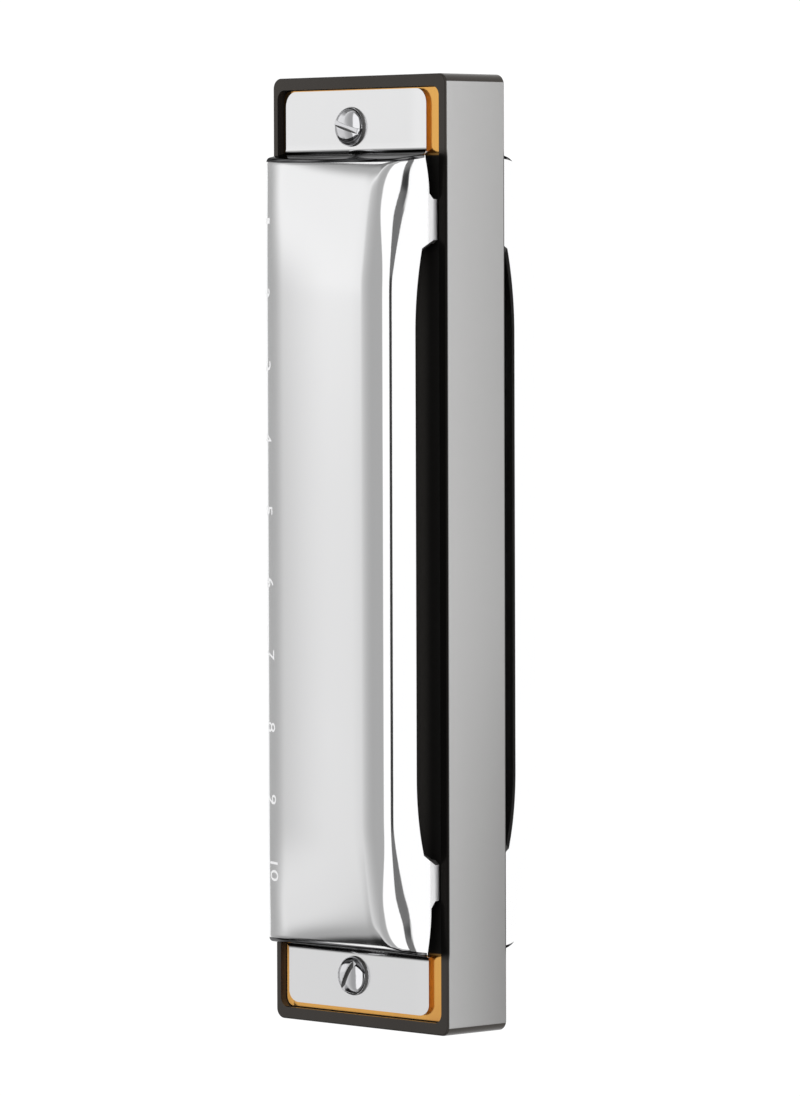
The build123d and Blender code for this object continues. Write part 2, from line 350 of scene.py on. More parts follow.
@dataclass(frozen=True)
class Finish:
    """A finish, written into a material of its own."""

    name: str

    def shader(self, tree: Tree) -> Wire:
        """Writes the nodes that make the finish, and returns its shader."""
        raise NotImplementedError

    def material(self) -> bpy.types.Material:
        """Builds the material.

        Returns:
            The new material.
        """
        material = bpy.data.materials.new(self.name)
        tree = Tree(material)
        tree.add_output("ShaderNodeOutputMaterial", self.shader(tree))
        return material


@dataclass(frozen=True)
class PlatedSheet(Finish):
    """Bright plated sheet, satin where rolled, glossier where drawn, dull and less metallic low on the rear
    wall, which is painted light: white where a mirror would show the dark rim.
    """

    name: str = "plated_sheet"
    colour: Colour = opaque(0.95, 0.95, 0.955)
    polished: float = 0.09
    satin: float = 0.15
    satin_rear: Span = (9.0 * MM, 7.0 * MM)
    skirt_top: Span = (5.6 * MM, 5.2 * MM)
    skirt_depth: Span = (10.2 * MM, 10.6 * MM)
    skirt_rough: float = 0.35
    skirt_film: float = 0.7
    grain: Triple = (300.0, 9000.0, 9000.0)
    grain_rough: float = 0.03
    grain_share: float = 0.6
    clouds: Triple = (70.0, 90.0, 90.0)
    cloud_rough: float = 0.05
    pits: Triple = (1500.0, 1500.0, 1500.0)
    relief: float = 0.0006 * MM

    def shader(self, tree: Tree) -> Wire:
        """Grain, clouds and pits on bright metal, satin on the top, and dull and less metallic on the skirt,
        which is painted light.

        Args:
            tree: The material's tree.

        Returns:
            The shader.
        """
        place = tree.here()
        grain = tree.noise(place, self.grain, 2.0)
        clouds = tree.noise(place, self.clouds, 3.0)
        pits = tree.noise(place, self.pits, 2.0)
        depth = tree.axis(place, "Y")
        flat = depth.ramp(*self.satin_rear)
        # Painted light: low on the rear wall the sheet is less metallic, so it shows white where a mirror
        # would show the dark rim.
        skirt = abs(tree.axis(place, "Z")).ramp(*self.skirt_top) * depth.ramp(*self.skirt_depth)
        rough = self.polished + flat * (self.satin - self.polished) + skirt * self.skirt_rough
        marks = grain * self.grain_share + pits * (1.0 - self.grain_share)
        rough = rough + (clouds - 0.5) * self.cloud_rough + (grain - 0.5) * self.grain_rough
        return tree.surface(self.colour, 1.0 - skirt * self.skirt_film, rough, tree.bump(marks, self.relief))


@dataclass(frozen=True)
class SmuttedSheet(Finish):
    """Painted shade on the end walls of the plated sheet, dark, with painted reflections as paler streaks
    along the depth.
    """

    name: str = "end_wall_painted_shade"
    dark: Colour = opaque(0.02, 0.02, 0.021)
    dark_edge: Colour = opaque(0.04, 0.04, 0.04)
    pale: Colour = opaque(0.22, 0.22, 0.225)
    pale_edge: Colour = opaque(0.42, 0.42, 0.42)
    rough: float = 0.12
    streaks: Triple = (1500.0, 70.0, 900.0)
    streak_share: Span = (0.36, 0.62)

    def shader(self, tree: Tree) -> Wire:
        """Dark metal as painted shade and pale metal as painted reflections, mixed by the streaks.

        Args:
            tree: The material's tree.

        Returns:
            The shader.
        """
        # Painted shade and painted reflections: the streaks choose between the dark and the pale metal.
        share = tree.noise(tree.here(), self.streaks, 2.0).ramp(*self.streak_share)
        dark = tree.surface(self.dark, 1.0, self.rough, edge=self.dark_edge)
        pale = tree.surface(self.pale, 1.0, self.rough, edge=self.pale_edge)
        return tree.blend(share, dark, pale)


@dataclass(frozen=True)
class CutEdge(Finish):
    """The grained edge where plated sheet was cut, near white, which is a painted highlight."""

    name: str = "cut_edge_painted_highlight"
    colour: Colour = opaque(0.92, 0.90, 0.86)
    metal: float = 0.2
    rough: float = 0.45

    def shader(self, tree: Tree) -> Wire:
        """An even shader."""
        return tree.surface(self.colour, self.metal, self.rough)


@dataclass(frozen=True)
class DullSheet(Finish):
    """The unpolished inner face of the drawn sheet."""

    name: str = "dull_sheet"
    colour: Colour = opaque(0.10, 0.098, 0.096)
    stained: Colour = opaque(0.15, 0.147, 0.144)
    metal: float = 0.6
    rough: float = 0.45
    stain: Triple = (250.0, 400.0, 400.0)
    stain_rough: float = 0.2
    relief: float = 0.004 * MM

    def shader(self, tree: Tree) -> Wire:
        """Stained and rough metal.

        Args:
            tree: The material's tree.

        Returns:
            The shader.
        """
        stain = tree.noise(tree.here(), self.stain, 4.0)
        colour = tree.mix(stain, self.colour, self.stained)
        rough = self.rough + stain * self.stain_rough
        return tree.surface(colour, self.metal, rough, tree.bump(stain, self.relief))


@dataclass(frozen=True)
class Brass(Finish):
    """Brass, with the long fine marks of rolling or filing along one axis, tarnished in stains."""

    colour: Colour = opaque(0.95, 0.50, 0.13)
    tarnish: Colour = opaque(0.78, 0.36, 0.10)
    rough: float = 0.14
    marks: Triple = (400.0, 12000.0, 6000.0)
    mark_depth: float = 0.0008 * MM
    mark_rough: float = 0.08
    stain: Triple = (120.0, 160.0, 160.0)
    tarnished: Span = (0.45, 0.8)
    stain_span: Span = (0.5, 0.9)
    stain_rough: float = 0.1

    def shader(self, tree: Tree) -> Wire:
        """Marked and tarnished brass, with dust and painted shade in its own way.

        Args:
            tree: The material's tree.

        Returns:
            The shader.
        """
        place = tree.here()
        lines = tree.noise(place, self.marks, 3.0)
        stain = tree.noise(place, self.stain, 4.0)
        colour = tree.mix(stain.ramp(*self.tarnished), self.colour, self.tarnish)
        rough = self.rough + lines * self.mark_rough + stain.ramp(*self.stain_span) * self.stain_rough
        colour, metal, rough = self.aged(tree, colour, rough)
        return tree.surface(colour, metal, rough, tree.bump(lines, self.mark_depth))

    def aged(self, tree: Tree, colour: Wire, rough: Wire) -> tuple[Wire, Wire | float, Wire]:
        """The colour, the metal and the roughness with dust and painted shade, which leaves plain brass as
        it is.
        """
        return colour, 1.0, rough


@dataclass(frozen=True)
class PlateBrass(Brass):
    """The brass of the reed plates.

    It has painted shade under a cover, near black at the rear and greyer and
    less metallic towards the front, and painted shade at one front corner;
    it is dusty at the other.
    """

    name: str = "plate_brass"
    dark: Colour = opaque(0.10, 0.055, 0.02)
    dark_rough: float = 0.25
    film: Colour = opaque(0.16, 0.15, 0.14)
    soot: Colour = opaque(0.010, 0.0095, 0.009)
    film_span: Span = (10.4 * MM, 7.4 * MM)
    film_share: float = 0.8
    dust_share: float = 0.85
    border: float = 0.2 * MM
    cover_end: float = 42.5 * MM
    tab_front: float = -11.6 * MM

    def aged(self, tree: Tree, colour: Wire, rough: Wire) -> tuple[Wire, Wire, Wire]:
        """Lays the painted shade under the cover and at one front corner, and the dust, over the brass.

        Args:
            tree: The material's tree.
            colour: The brass's colour.
            rough: Its roughness.

        Returns:
            The colour, how metallic it is, and the roughness.
        """
        place = tree.here()
        length, depth = tree.axis(place, "X"), tree.axis(place, "Y")
        inside, outside = self.cover_end - self.border, self.cover_end + self.border
        # Painted shade: under the cover the brass is near black and less metallic, darker towards the rear,
        # and dark at one front corner.
        shaded = abs(length).ramp(outside, inside)
        corner = depth.ramp(self.tab_front + self.border, self.tab_front) * length.ramp(0.0, -MM)
        aged = shaded.at_least(corner)
        film = tree.mix(depth.ramp(*self.film_span), self.soot, self.film)
        colour = tree.mix(aged, colour, tree.mix(shaded, self.dark, film))
        dust = depth.ramp(self.tab_front + self.border / 2, self.tab_front - self.border / 2)
        metal = 1.0 - dust * length.ramp(inside, outside) * self.dust_share - shaded * self.film_share
        return colour, metal, rough + aged * self.dark_rough


@dataclass(frozen=True)
class ReedBrass(Brass):
    """The paler brass of the reeds, filed along them."""

    name: str = "reed_brass"
    colour: Colour = opaque(0.85, 0.55, 0.22)
    rough: float = 0.25
    marks: Triple = (9000.0, 500.0, 6000.0)
    mark_depth: float = 0.002 * MM


@dataclass(frozen=True)
class RivetBrass(Brass):
    """The pale brass of the rivets."""

    name: str = "rivet_brass"
    colour: Colour = opaque(0.86, 0.60, 0.25)
    rough: float = 0.2


@dataclass(frozen=True)
class MouldedPlastic(Finish):
    """Black moulded plastic, near black and matt on the ledge behind the covers, which is painted
    shade, with a satin grey band on its back face, which is a painted reflection.

    The band is darker towards its lower edge, and darker still at the high end, which is painted shade.
    """

    name: str = "moulded_plastic"
    black: Colour = opaque(0.012, 0.0105, 0.0098)
    worn: Colour = opaque(0.020, 0.018, 0.0165)
    grey: Colour = opaque(0.49, 0.49, 0.49)
    low_grey: Colour = opaque(0.40, 0.40, 0.40)
    far_grey: Colour = opaque(0.43, 0.43, 0.43)
    far_low_grey: Colour = opaque(0.27, 0.27, 0.27)
    fade_end: float = 45.0 * MM
    ledge_black: Colour = opaque(0.0015, 0.0015, 0.0015)
    ledge_depth: Span = (11.8 * MM, 12.0 * MM)
    ledge_height: Span = (4.05 * MM, 4.2 * MM)
    ledge_length: Span = (43.2 * MM, 42.0 * MM)
    ledge_matt: float = 0.85
    ledge_rough: float = 0.5
    sheen: Colour = opaque(0.90, 0.80, 0.70)
    band_length: Span = (50.2 * MM, 50.1 * MM)
    band_height: Span = (4.26 * MM, 4.16 * MM)
    band_depth: Span = (13.35 * MM, 13.45 * MM)
    band_metal: float = 0.35
    band_rough: float = 0.22
    rim: float = 4.35 * MM
    rough: float = 0.2
    skin: Triple = (6000.0, 6000.0, 6000.0)
    flow: Triple = (90.0, 200.0, 200.0)
    flow_rough: float = 0.06
    relief: float = 0.0015 * MM

    def shader(self, tree: Tree) -> Wire:
        """Plastic with its band of painted reflection, and the matt painted shade of the ledge over it.

        Args:
            tree: The material's tree.

        Returns:
            The shader.
        """
        place = tree.here()
        length, depth, height = (tree.axis(place, name) for name in "XYZ")
        skin = tree.noise(place, self.skin, 3.0)
        flow = tree.noise(place, self.flow, 3.0)
        band = abs(length).ramp(*self.band_length) * abs(height).ramp(*self.band_height)
        band = band * depth.ramp(*self.band_depth)
        body = tree.mix(flow, self.black, self.worn)
        # Painted reflection: the grey of the band, with painted shade lower down and towards the high end.
        rise = (height / self.rim + 1.0) * 0.5
        far = length.ramp(0.0, self.fade_end)
        painted_reflection = tree.mix(
            rise,
            tree.mix(far, self.low_grey, self.far_low_grey),
            tree.mix(far, self.grey, self.far_grey),
        )
        colour = tree.mix(band, body, painted_reflection)
        rough = self.rough + band * self.band_rough + (flow - 0.5) * self.flow_rough
        relief = tree.bump(skin, self.relief)
        satin = tree.surface(colour, band * self.band_metal, rough, relief, self.sheen)
        # Painted shade: the ledge beside the covers is near black and matt, so it mirrors nothing.
        ledge = depth.ramp(*self.ledge_depth) * abs(height).ramp(*self.ledge_height)
        ledge = ledge * abs(length).ramp(*self.ledge_length)
        inputs = {"Color": self.ledge_black, "Roughness": self.ledge_rough}
        matt = tree.add("ShaderNodeBsdfDiffuse", None, inputs)
        return tree.blend(ledge * self.ledge_matt, satin, matt)


@dataclass(frozen=True)
class PolishedSteel(Finish):
    """Bright turned steel, with fine scratches."""

    name: str = "polished_steel"
    colour: Colour = opaque(0.80, 0.80, 0.82)
    rough: float = 0.07
    scratches: Triple = (3000.0, 9000.0, 3000.0)
    scratch_span: Span = (0.5, 0.8)
    scratch_rough: float = 0.12
    dents: Triple = (900.0, 900.0, 900.0)
    dent_share: float = 0.7
    relief: float = 0.01 * MM

    def shader(self, tree: Tree) -> Wire:
        """Steel with scratches and shallow dents.

        Args:
            tree: The material's tree.

        Returns:
            The shader.
        """
        place = tree.here()
        scratches = tree.noise(place, self.scratches, 4.0)
        dents = tree.noise(place, self.dents, 2.0)
        marks = dents * self.dent_share + scratches * (1.0 - self.dent_share)
        rough = self.rough + scratches.ramp(*self.scratch_span) * self.scratch_rough
        return tree.surface(self.colour, 1.0, rough, tree.bump(marks, self.relief))


@dataclass(frozen=True)
class PlateScrewSteel(PolishedSteel):
    """The greyer and rougher steel of the plate screws."""

    name: str = "plate_screw_steel"
    colour: Colour = opaque(0.56, 0.56, 0.57)
    rough: float = 0.22


@dataclass(frozen=True)
class Etching(Finish):
    """The pale matt ground of an etched mark."""

    name: str = "etching"
    low: Colour = opaque(0.74, 0.74, 0.75)
    high: Colour = opaque(0.90, 0.90, 0.90)
    metal: float = 0.2
    rough: float = 0.5
    tooth: Triple = (20000.0, 20000.0, 20000.0)
    tooth_rough: float = 0.2
    relief: float = 0.002 * MM

    def shader(self, tree: Tree) -> Wire:
        """Pale matt metal with a fine tooth.

        Args:
            tree: The material's tree.

        Returns:
            The shader.
        """
        tooth = tree.noise(tree.here(), self.tooth, 2.0)
        colour = tree.mix(tooth, self.low, self.high)
        rough = self.rough + tooth * self.tooth_rough
        return tree.surface(colour, self.metal, rough, tree.bump(tooth, self.relief))


# ---------------------------------------------------------------------------
# Surfaces
# ---------------------------------------------------------------------------


def bezier(points: list[np.ndarray], share: np.ndarray) -> np.ndarray:
    """A Bezier curve of any order: neighbours are mixed again and again until one point is left.

    Args:
        points: Control points, each an array whose last axis is the coordinates.
        share: Places along the curve, from 0 to 1.

    Returns:
        The curve's points, with the places as the axis before the coordinates.
    """
    level = [point[..., None, :] for point in points]
    share = share[:, None]
    while len(level) > 1:
        level = [a + (b - a) * share for a, b in zip(level[:-1], level[1:])]
    return level[0] + 0.0 * share


def between(first: float, second: float, share: np.ndarray) -> np.ndarray:
    """Values on the way from the first, at share 0, to the second, at share 1."""
    return first + share * (second - first)


def smooth_step(start: float, end: float, values: np.ndarray) -> np.ndarray:
    """A smooth step from 0 at start to 1 at end: 3t^2 - 2t^3, with t the clipped share of the way."""
    share = np.clip((values - start) / (end - start), 0.0, 1.0)
    return share * share * (3.0 - 2.0 * share)


def round_grid(rings: list[tuple], steps: int) -> np.ndarray:
    """Rings round the Z axis, each with a radius and a height that may vary round it."""
    angle = np.linspace(0, 2 * math.pi, steps + 1)
    return np.stack([np.stack([r * np.cos(angle), r * np.sin(angle), z + 0 * angle], -1) for r, z in rings])


def grid_quads(keep: np.ndarray) -> np.ndarray:
    """Corner numbers of a grid's cells.

    Args:
        keep: Which cells are kept, one row fewer and one column fewer than the grid.

    Returns:
        One row of four corner numbers for each kept cell.
    """
    rows, columns = keep.shape
    numbers = np.arange((rows + 1) * (columns + 1)).reshape(rows + 1, columns + 1)
    corners = (numbers[:-1, :-1], numbers[:-1, 1:], numbers[1:, 1:], numbers[1:, :-1])
    return np.stack(corners, -1)[keep]


def shell(
    outer: np.ndarray, inner: np.ndarray, keep: np.ndarray
) -> tuple[np.ndarray, np.ndarray, np.ndarray]:
    """Closes two skins of the same grid into one wall: every edge that only one cell uses gets a rim face.

    Args:
        outer: Points of the outer skin, rows by columns by 3.
        inner: Points of the inner skin, on the same grid.
        keep: Which cells are kept.

    Returns:
        All points, all faces, and for each face 1 where it belongs to the inner skin or a cut edge.
    """
    count = outer.shape[0] * outer.shape[1]
    quads = grid_quads(keep)
    edges = np.concatenate([quads[:, [k, (k + 1) % 4]] for k in range(4)])
    forward = edges[:, 0] * count + edges[:, 1]
    backward = edges[:, 1] * count + edges[:, 0]
    rim = edges[~np.isin(forward, backward)]
    rim_quads = np.stack([rim[:, 1], rim[:, 0], rim[:, 0] + count, rim[:, 1] + count], -1)
    points = np.concatenate([outer.reshape(-1, 3), inner.reshape(-1, 3)])
    faces = np.concatenate([quads, quads[:, ::-1] + count, rim_quads])
    is_inner = np.ones(len(faces), np.int32)
    is_inner[: len(quads)] = 0
    return points, faces, is_inner


def make_piece(
    name: str,
    points: np.ndarray,
    faces: np.ndarray,
    materials: list[bpy.types.Material],
    face_materials: np.ndarray | None = None,
    sharp_degrees: float = SHARP_DEGREES,
) -> bpy.types.Object:
    """Makes an object of a mesh, with doubles merged and smooth faces between its sharp edges.

    Args:
        name: The object's name.
        points: Its points.
        faces: Its faces, each four corner numbers.
        materials: Its materials.
        face_materials: The number of each face's material, or None for the first.
        sharp_degrees: The angle from which an edge is sharp.

    Returns:
        The new object, at the origin.
    """
    mesh = bpy.data.meshes.new(name)
    mesh.from_pydata(points.tolist(), [], faces.tolist())
    for material in materials:
        mesh.materials.append(material)
    if face_materials is not None:
        mesh.polygons.foreach_set("material_index", face_materials)
    work = bmesh.new()
    work.from_mesh(mesh)
    bmesh.ops.remove_doubles(work, verts=work.verts, dist=MERGE_DISTANCE)
    bmesh.ops.dissolve_degenerate(work, edges=work.edges, dist=MERGE_DISTANCE / 2)
    work.to_mesh(mesh)
    work.free()
    mesh.polygons.foreach_set("use_smooth", np.ones(len(mesh.polygons), bool))
    mesh.set_sharp_from_angle(angle=math.radians(sharp_degrees))
    piece = bpy.data.objects.new(name, mesh)
    bpy.context.scene.collection.objects.link(piece)
    LOG.info("%s: %d points, %d faces", name, len(mesh.vertices), len(mesh.polygons))
    return piece


def round_edges(piece: bpy.types.Object, width: float, segments: int) -> None:
    """Rounds a piece's sharp edges.

    Args:
        piece: The piece.
        width: Width of the rounding.
        segments: Faces across it.
    """
    bevel = piece.modifiers.new("rounded_edges", "BEVEL")
    bevel.width = width
    bevel.segments = segments
    bevel.limit_method = "ANGLE"
    bevel.angle_limit = math.radians(ROUNDED_DEGREES)
    bevel.harden_normals = True
    bevel.use_clamp_overlap = True


# ---------------------------------------------------------------------------
# Covers
# ---------------------------------------------------------------------------


@dataclass
class Cover:
    """A drawn sheet cover: a domed body, an end wall and a flat tab at each end, and an open rear.

    The outer and the inner skin come from one description. Its section across
    the length is a front wall, a rounded front corner, a bowed top, a rounded
    rear shoulder and a rear wall. All heights are above the comb's rim.
    """

    side: Side
    rim: float
    plate: float
    tab_end: float
    front: float
    rear: float
    sheet: float = 0.4 * MM
    front_height: float = 3.0 * MM
    rear_height: float = 8.25 * MM
    end_sink: float = 2.74 * MM
    last_sink: float = 1.1 * MM
    last_reach: float = 1.05 * MM
    end_front_height: float = 2.65 * MM
    crown: float = 0.35 * MM
    end_crown: float = 0.12 * MM
    brow_run: float = 5.0 * MM
    brow_radius: float = 36.0 * MM
    end_brow_radius: float = 20.0 * MM
    front_run: float = 1.75 * MM
    end_front_run: float = 0.65 * MM
    corner_hold: float = 0.58
    corner_run: float = 0.86 * MM
    corner_fall: float = 0.94 * MM
    end_corner_run: float = 3.2 * MM
    end_corner_fall: float = 5.5 * MM
    corner_near: float = 1.0 * MM
    corner_far: float = 13.3 * MM
    wall_left: float = 0.9 * MM
    end_wall_left: float = 2.4 * MM
    wall_near: float = 5.0 * MM
    wall_far: float = 15.0 * MM
    wall_softness: float = 0.15 * MM
    roll_run: float = 4.9 * MM
    end_roll_run: float = 4.95 * MM
    roll_radius: float = 7.3 * MM
    roll_full: float = 3.5 * MM
    shoulder_reach: float = 12.6 * MM
    shoulder_power: float = 1.1
    shoulder_softness: float = 0.05
    front_reach: float = 3.0 * MM
    waist: float = 0.05 * MM
    waist_reach: float = 1.5 * MM
    end_wall_run: float = 0.97 * MM
    flare_reach: float = 1.2 * MM
    end_round: float = 0.55 * MM
    tab_length: float = 6.5 * MM
    tab_front_inset: float = 0.4 * MM
    tab_rear_inset: float = 1.85 * MM
    tab_corner: float = 1.5 * MM
    screw_clear: float = 48.0 * MM
    high_tab_cut: float = 0.28 * MM
    low_tab_reach: float = 0.1 * MM
    opening_half: float = 32.5 * MM
    opening_height: float = 2.98 * MM
    opening_end_height: float = 1.96 * MM
    opening_rise: float = 9.0 * MM
    opening_slant: float = 0.9 * MM
    foot_width: float = 4.3 * MM
    foot_bend: float = 1.3 * MM
    foot_toe: float = 0.7 * MM
    high_opening_cut: float = 0.8 * MM
    high_foot_back: float = 0.6 * MM
    high_foot_cut: float = 0.5 * MM
    set_back_start: float = 20.0 * MM
    set_back_low: float = 2.1 * MM
    set_back_high: float = 3.6 * MM
    skirt_height: float = 0.95 * MM
    skirt_end_height: float = 1.5 * MM
    lean_height: float = 1.85 * MM
    lean_radius: float = 5.5 * MM
    notch_width: float = 0.6 * MM
    notch_height: float = 0.45 * MM
    edge_round: float = 0.19 * MM
    wall_points: int = 8
    front_corner_points: int = 20
    top_points: int = 56
    top_spacing: float = 0.8
    shoulder_points: int = 36
    rear_wall_points: int = 12
    foot_points: int = 9
    edge_points: int = 9
    slope_points: int = 6
    fold_points: int = 7
    tab_points: int = 12
    end_columns: int = 56
    end_columns_reach: float = 21.0 * MM
    end_columns_spacing: float = 1.7
    middle_columns: int = 14
    column_gap: float = 0.03 * MM
    step: float = 0.004 * MM
    round_share: float = 0.45
    first_top_row: int = field(init=False, default=0)
    last_top_row: int = field(init=False, default=0)
    wall_column: int = field(init=False, default=0)
    fold_column: int = field(init=False, default=0)

    @property
    def fold(self) -> float:
        """Where the tab meets the end wall."""
        return self.tab_end - self.tab_length

    @property
    def body_half(self) -> float:
        """Half the length of the domed body."""
        return self.fold - self.end_wall_run

    @property
    def foot_inner(self) -> float:
        """The side of a foot that faces the middle."""
        return self.opening_half + self.opening_slant

    @property
    def foot_outer(self) -> float:
        """The side of a foot that faces the end."""
        return self.foot_inner + self.foot_width

    def eased(self, end: float, middle: float, reach: float, distance: np.ndarray) -> np.ndarray:
        """A size that decays exponentially from its end value to its middle value.

        Args:
            end: Its value at the body's end.
            middle: Its value far from the end.
            reach: The distance over which it falls to about a third.
            distance: Distances from the end.

        Returns:
            The sizes.
        """
        return middle + (end - middle) * np.exp(-distance / reach)

    def end_share(self, distance: np.ndarray) -> np.ndarray:
        """How much a section has the shape of the body's end: a smooth step from 1 there to 0."""
        return smooth_step(self.corner_far, self.corner_near, distance)

    def wall_share(self, distance: np.ndarray) -> np.ndarray:
        """How much of the end's taller straight wall a section has: a smooth step from 1 there to 0."""
        return smooth_step(self.wall_far, self.wall_near, distance)

    def roll_share(self, distance: np.ndarray) -> np.ndarray:
        """How much of the roll a section has: a smooth step from 0 near the body's end to 1."""
        return smooth_step(0.0, self.roll_full, distance)

    def shoulder_height(self, distance: np.ndarray) -> np.ndarray:
        """Height of the rear shoulder's corner, before its edge is rounded.

        It sinks towards the end as a power of the distance that is left to its
        full height, and that distance meets zero softly, as a softplus does.

        Args:
            distance: Distances from the body's end.

        Returns:
            The heights above the rim.
        """
        soft = self.shoulder_softness
        left = soft * np.logaddexp(0.0, (1.0 - distance / self.shoulder_reach) / soft)
        sink = self.end_sink * left**self.shoulder_power
        return self.rear_height - sink - self.eased(self.last_sink, 0.0, self.last_reach, distance)

    def edge_height(self, x: np.ndarray) -> np.ndarray:
        """Height of the rear wall's lower edge.

        From the middle outwards it is level, then a circle's arc that falls,
        a straight slant to a foot, and steps for the notch and the skirt.

        Args:
            x: Places along the length, as distances from the middle.

        Returns:
            The heights above the rim.
        """
        fall = self.opening_height - self.opening_end_height
        radius = (self.opening_rise**2 + fall**2) / (2 * fall)
        past = np.clip(x - (self.opening_half - self.opening_rise), 0.0, self.opening_rise)
        arc = self.opening_height - radius + np.sqrt(radius**2 - past**2)
        bend = self.plate - self.rim + self.foot_bend
        slant = np.interp(x, [self.opening_half, self.foot_inner], [self.opening_end_height, bend])
        height = np.where(x < self.opening_half, arc, slant)
        notch_end = self.foot_outer + self.notch_width
        relief = np.interp(x, [self.foot_outer, notch_end], [self.notch_height, self.skirt_height])
        last = np.clip((x - notch_end) / (self.body_half - notch_end), 0.0, 1.0)
        relief = relief + (self.skirt_end_height - self.skirt_height) * last**2
        return np.where(x > self.foot_outer, relief, height)

    def body_columns(self) -> np.ndarray:
        """Places of the body's sections, closer together towards its end.

        Returns:
            Distances from the body's end, with a pair at the step of the lower edge.
        """
        share = np.linspace(0.0, 1.0, self.end_columns) ** self.end_columns_spacing
        graded = self.end_round + self.end_columns_reach * share
        level = np.linspace(self.body_half, graded[-1], self.middle_columns, endpoint=False)
        places = [
            self.opening_half,
            self.foot_inner,
            self.foot_outer - self.step,
            self.foot_outer + self.step,
            self.foot_outer + self.notch_width,
        ]
        marks = self.body_half - np.array(places)
        near = np.abs(graded[:, None] - marks[None, :]).min(1) < self.column_gap
        return np.sort(np.concatenate([level, graded[~near], marks]))[::-1]

    def section(self, distance: np.ndarray, inset: float) -> np.ndarray:
        """Sections across the length.

        The top is a straight line between the two corners plus a parabola. Two
        more parabolas, a brow behind the front corner and a roll before the rear
        one, bend it down there, the roll less and less towards the end. Each
        corner is a cubic Bezier curve that leaves the wall and the top along
        their own directions. Below a set height the rear wall leans out, as a
        parabola does.

        Args:
            distance: Distances from the body's end, one for each section.
            inset: How far this skin lies inside the outer one.

        Returns:
            Rows by sections by two coordinates, Y and Z above the rim.
        """
        end = self.end_share(distance)
        reach = self.front_reach
        front = np.full_like(distance, self.front + inset)
        rear = self.eased(self.rear - self.waist, self.rear, self.waist_reach, distance) - inset
        low = self.eased(self.end_front_height, self.front_height, reach, distance) - inset
        high = self.shoulder_height(distance) - inset
        crown = self.eased(self.end_crown, self.crown, reach, distance)
        front_run = self.eased(self.end_front_run, self.front_run, reach, distance) - inset
        corner_run = between(self.corner_run, self.end_corner_run, end) - inset
        corner_fall = between(self.corner_fall, self.end_corner_fall, end) - inset
        roll_run = between(self.roll_run, self.end_roll_run, end)
        roll = self.roll_share(distance) / (2.0 * self.roll_radius)
        brow = 0.5 / between(self.brow_radius, self.end_brow_radius, end)
        low = low + brow * (self.brow_run**2 - (self.brow_run - front_run) ** 2)
        floor = self.plate - self.rim

        def top_point(y: np.ndarray) -> np.ndarray:
            """Points of the top.

            Args:
                y: Their Y, one for each section.

            Returns:
                Their Y and Z.
            """
            share = (y - front) / (rear - front)
            past = np.maximum(y - (rear - roll_run), 0.0)
            before = np.maximum(front + self.brow_run - y, 0.0)
            height = low + (high - low) * share + 4 * crown * share * (1 - share)
            return np.stack([y, height - roll * past**2 - brow * before**2], -1)

        def top_slope(y: np.ndarray) -> np.ndarray:
            """How steeply the top rises along Y.

            Args:
                y: Where, one place for each section.

            Returns:
                The slopes.
            """
            share = (y - front) / (rear - front)
            past = np.maximum(y - (rear - roll_run), 0.0)
            before = np.maximum(front + self.brow_run - y, 0.0)
            rise = (high - low + 4 * crown * (1 - 2 * share)) / (rear - front)
            return rise - 2 * roll * past + 2 * brow * before

        start = np.stack([front, low - front_run], -1)
        first = top_point(front + front_run)
        knee = np.stack([front, first[:, 1] - front_run * top_slope(front + front_run)], -1)
        front_corner = self.corner(start, knee, first, self.front_corner_points)

        last = top_point(rear - corner_run)
        crest = np.stack([rear, last[:, 1] + corner_run * top_slope(rear - corner_run)], -1)
        lowest = floor + between(self.wall_left, self.end_wall_left, self.wall_share(distance))
        soft = self.wall_softness
        finish_z = soft * np.logaddexp((crest[:, 1] - corner_fall) / soft, lowest / soft)
        finish = np.stack([rear, finish_z], -1)
        shoulder = self.corner(last, crest, finish, self.shoulder_points)

        share = np.linspace(0, 1, self.top_points)[:, None] ** self.top_spacing
        top_rows = top_point(first[:, 0] + (last[:, 0] - first[:, 0]) * share)
        foot = np.stack([front, np.full_like(front, floor)], -1)
        front_wall = bezier([foot, start], np.linspace(0, 1, self.wall_points))
        edge = np.stack([rear, self.edge_height(self.body_half - distance)], -1)
        rear_wall = bezier([finish, edge], np.linspace(0, 1, self.rear_wall_points))
        below = np.maximum(self.lean_height - rear_wall[..., 1], 0.0)
        rear_wall[..., 0] += below**2 / (2.0 * self.lean_radius)
        curves = [np.moveaxis(c, 0, 1) for c in (front_wall, front_corner, shoulder, rear_wall)]
        rows = [curves[0][:-1], curves[1][:-1], top_rows[:-1], curves[2][:-1], curves[3]]
        self.first_top_row = len(rows[0])
        self.last_top_row = sum(len(part) for part in rows[:4])
        return np.concatenate(rows)

    def corner(self, start: np.ndarray, peak: np.ndarray, end: np.ndarray, count: int) -> np.ndarray:
        """A rounded corner: a cubic Bezier curve whose handles point at the sharp corner.

        Args:
            start: Where it starts, for each section.
            peak: The sharp corner.
            end: Where it ends.
            count: Points along it.

        Returns:
            Sections by points by two coordinates.
        """
        leave = start + self.corner_hold * (peak - start)
        arrive = end + self.corner_hold * (peak - end)
        return bezier([start, leave, arrive, end], np.linspace(0, 1, count))

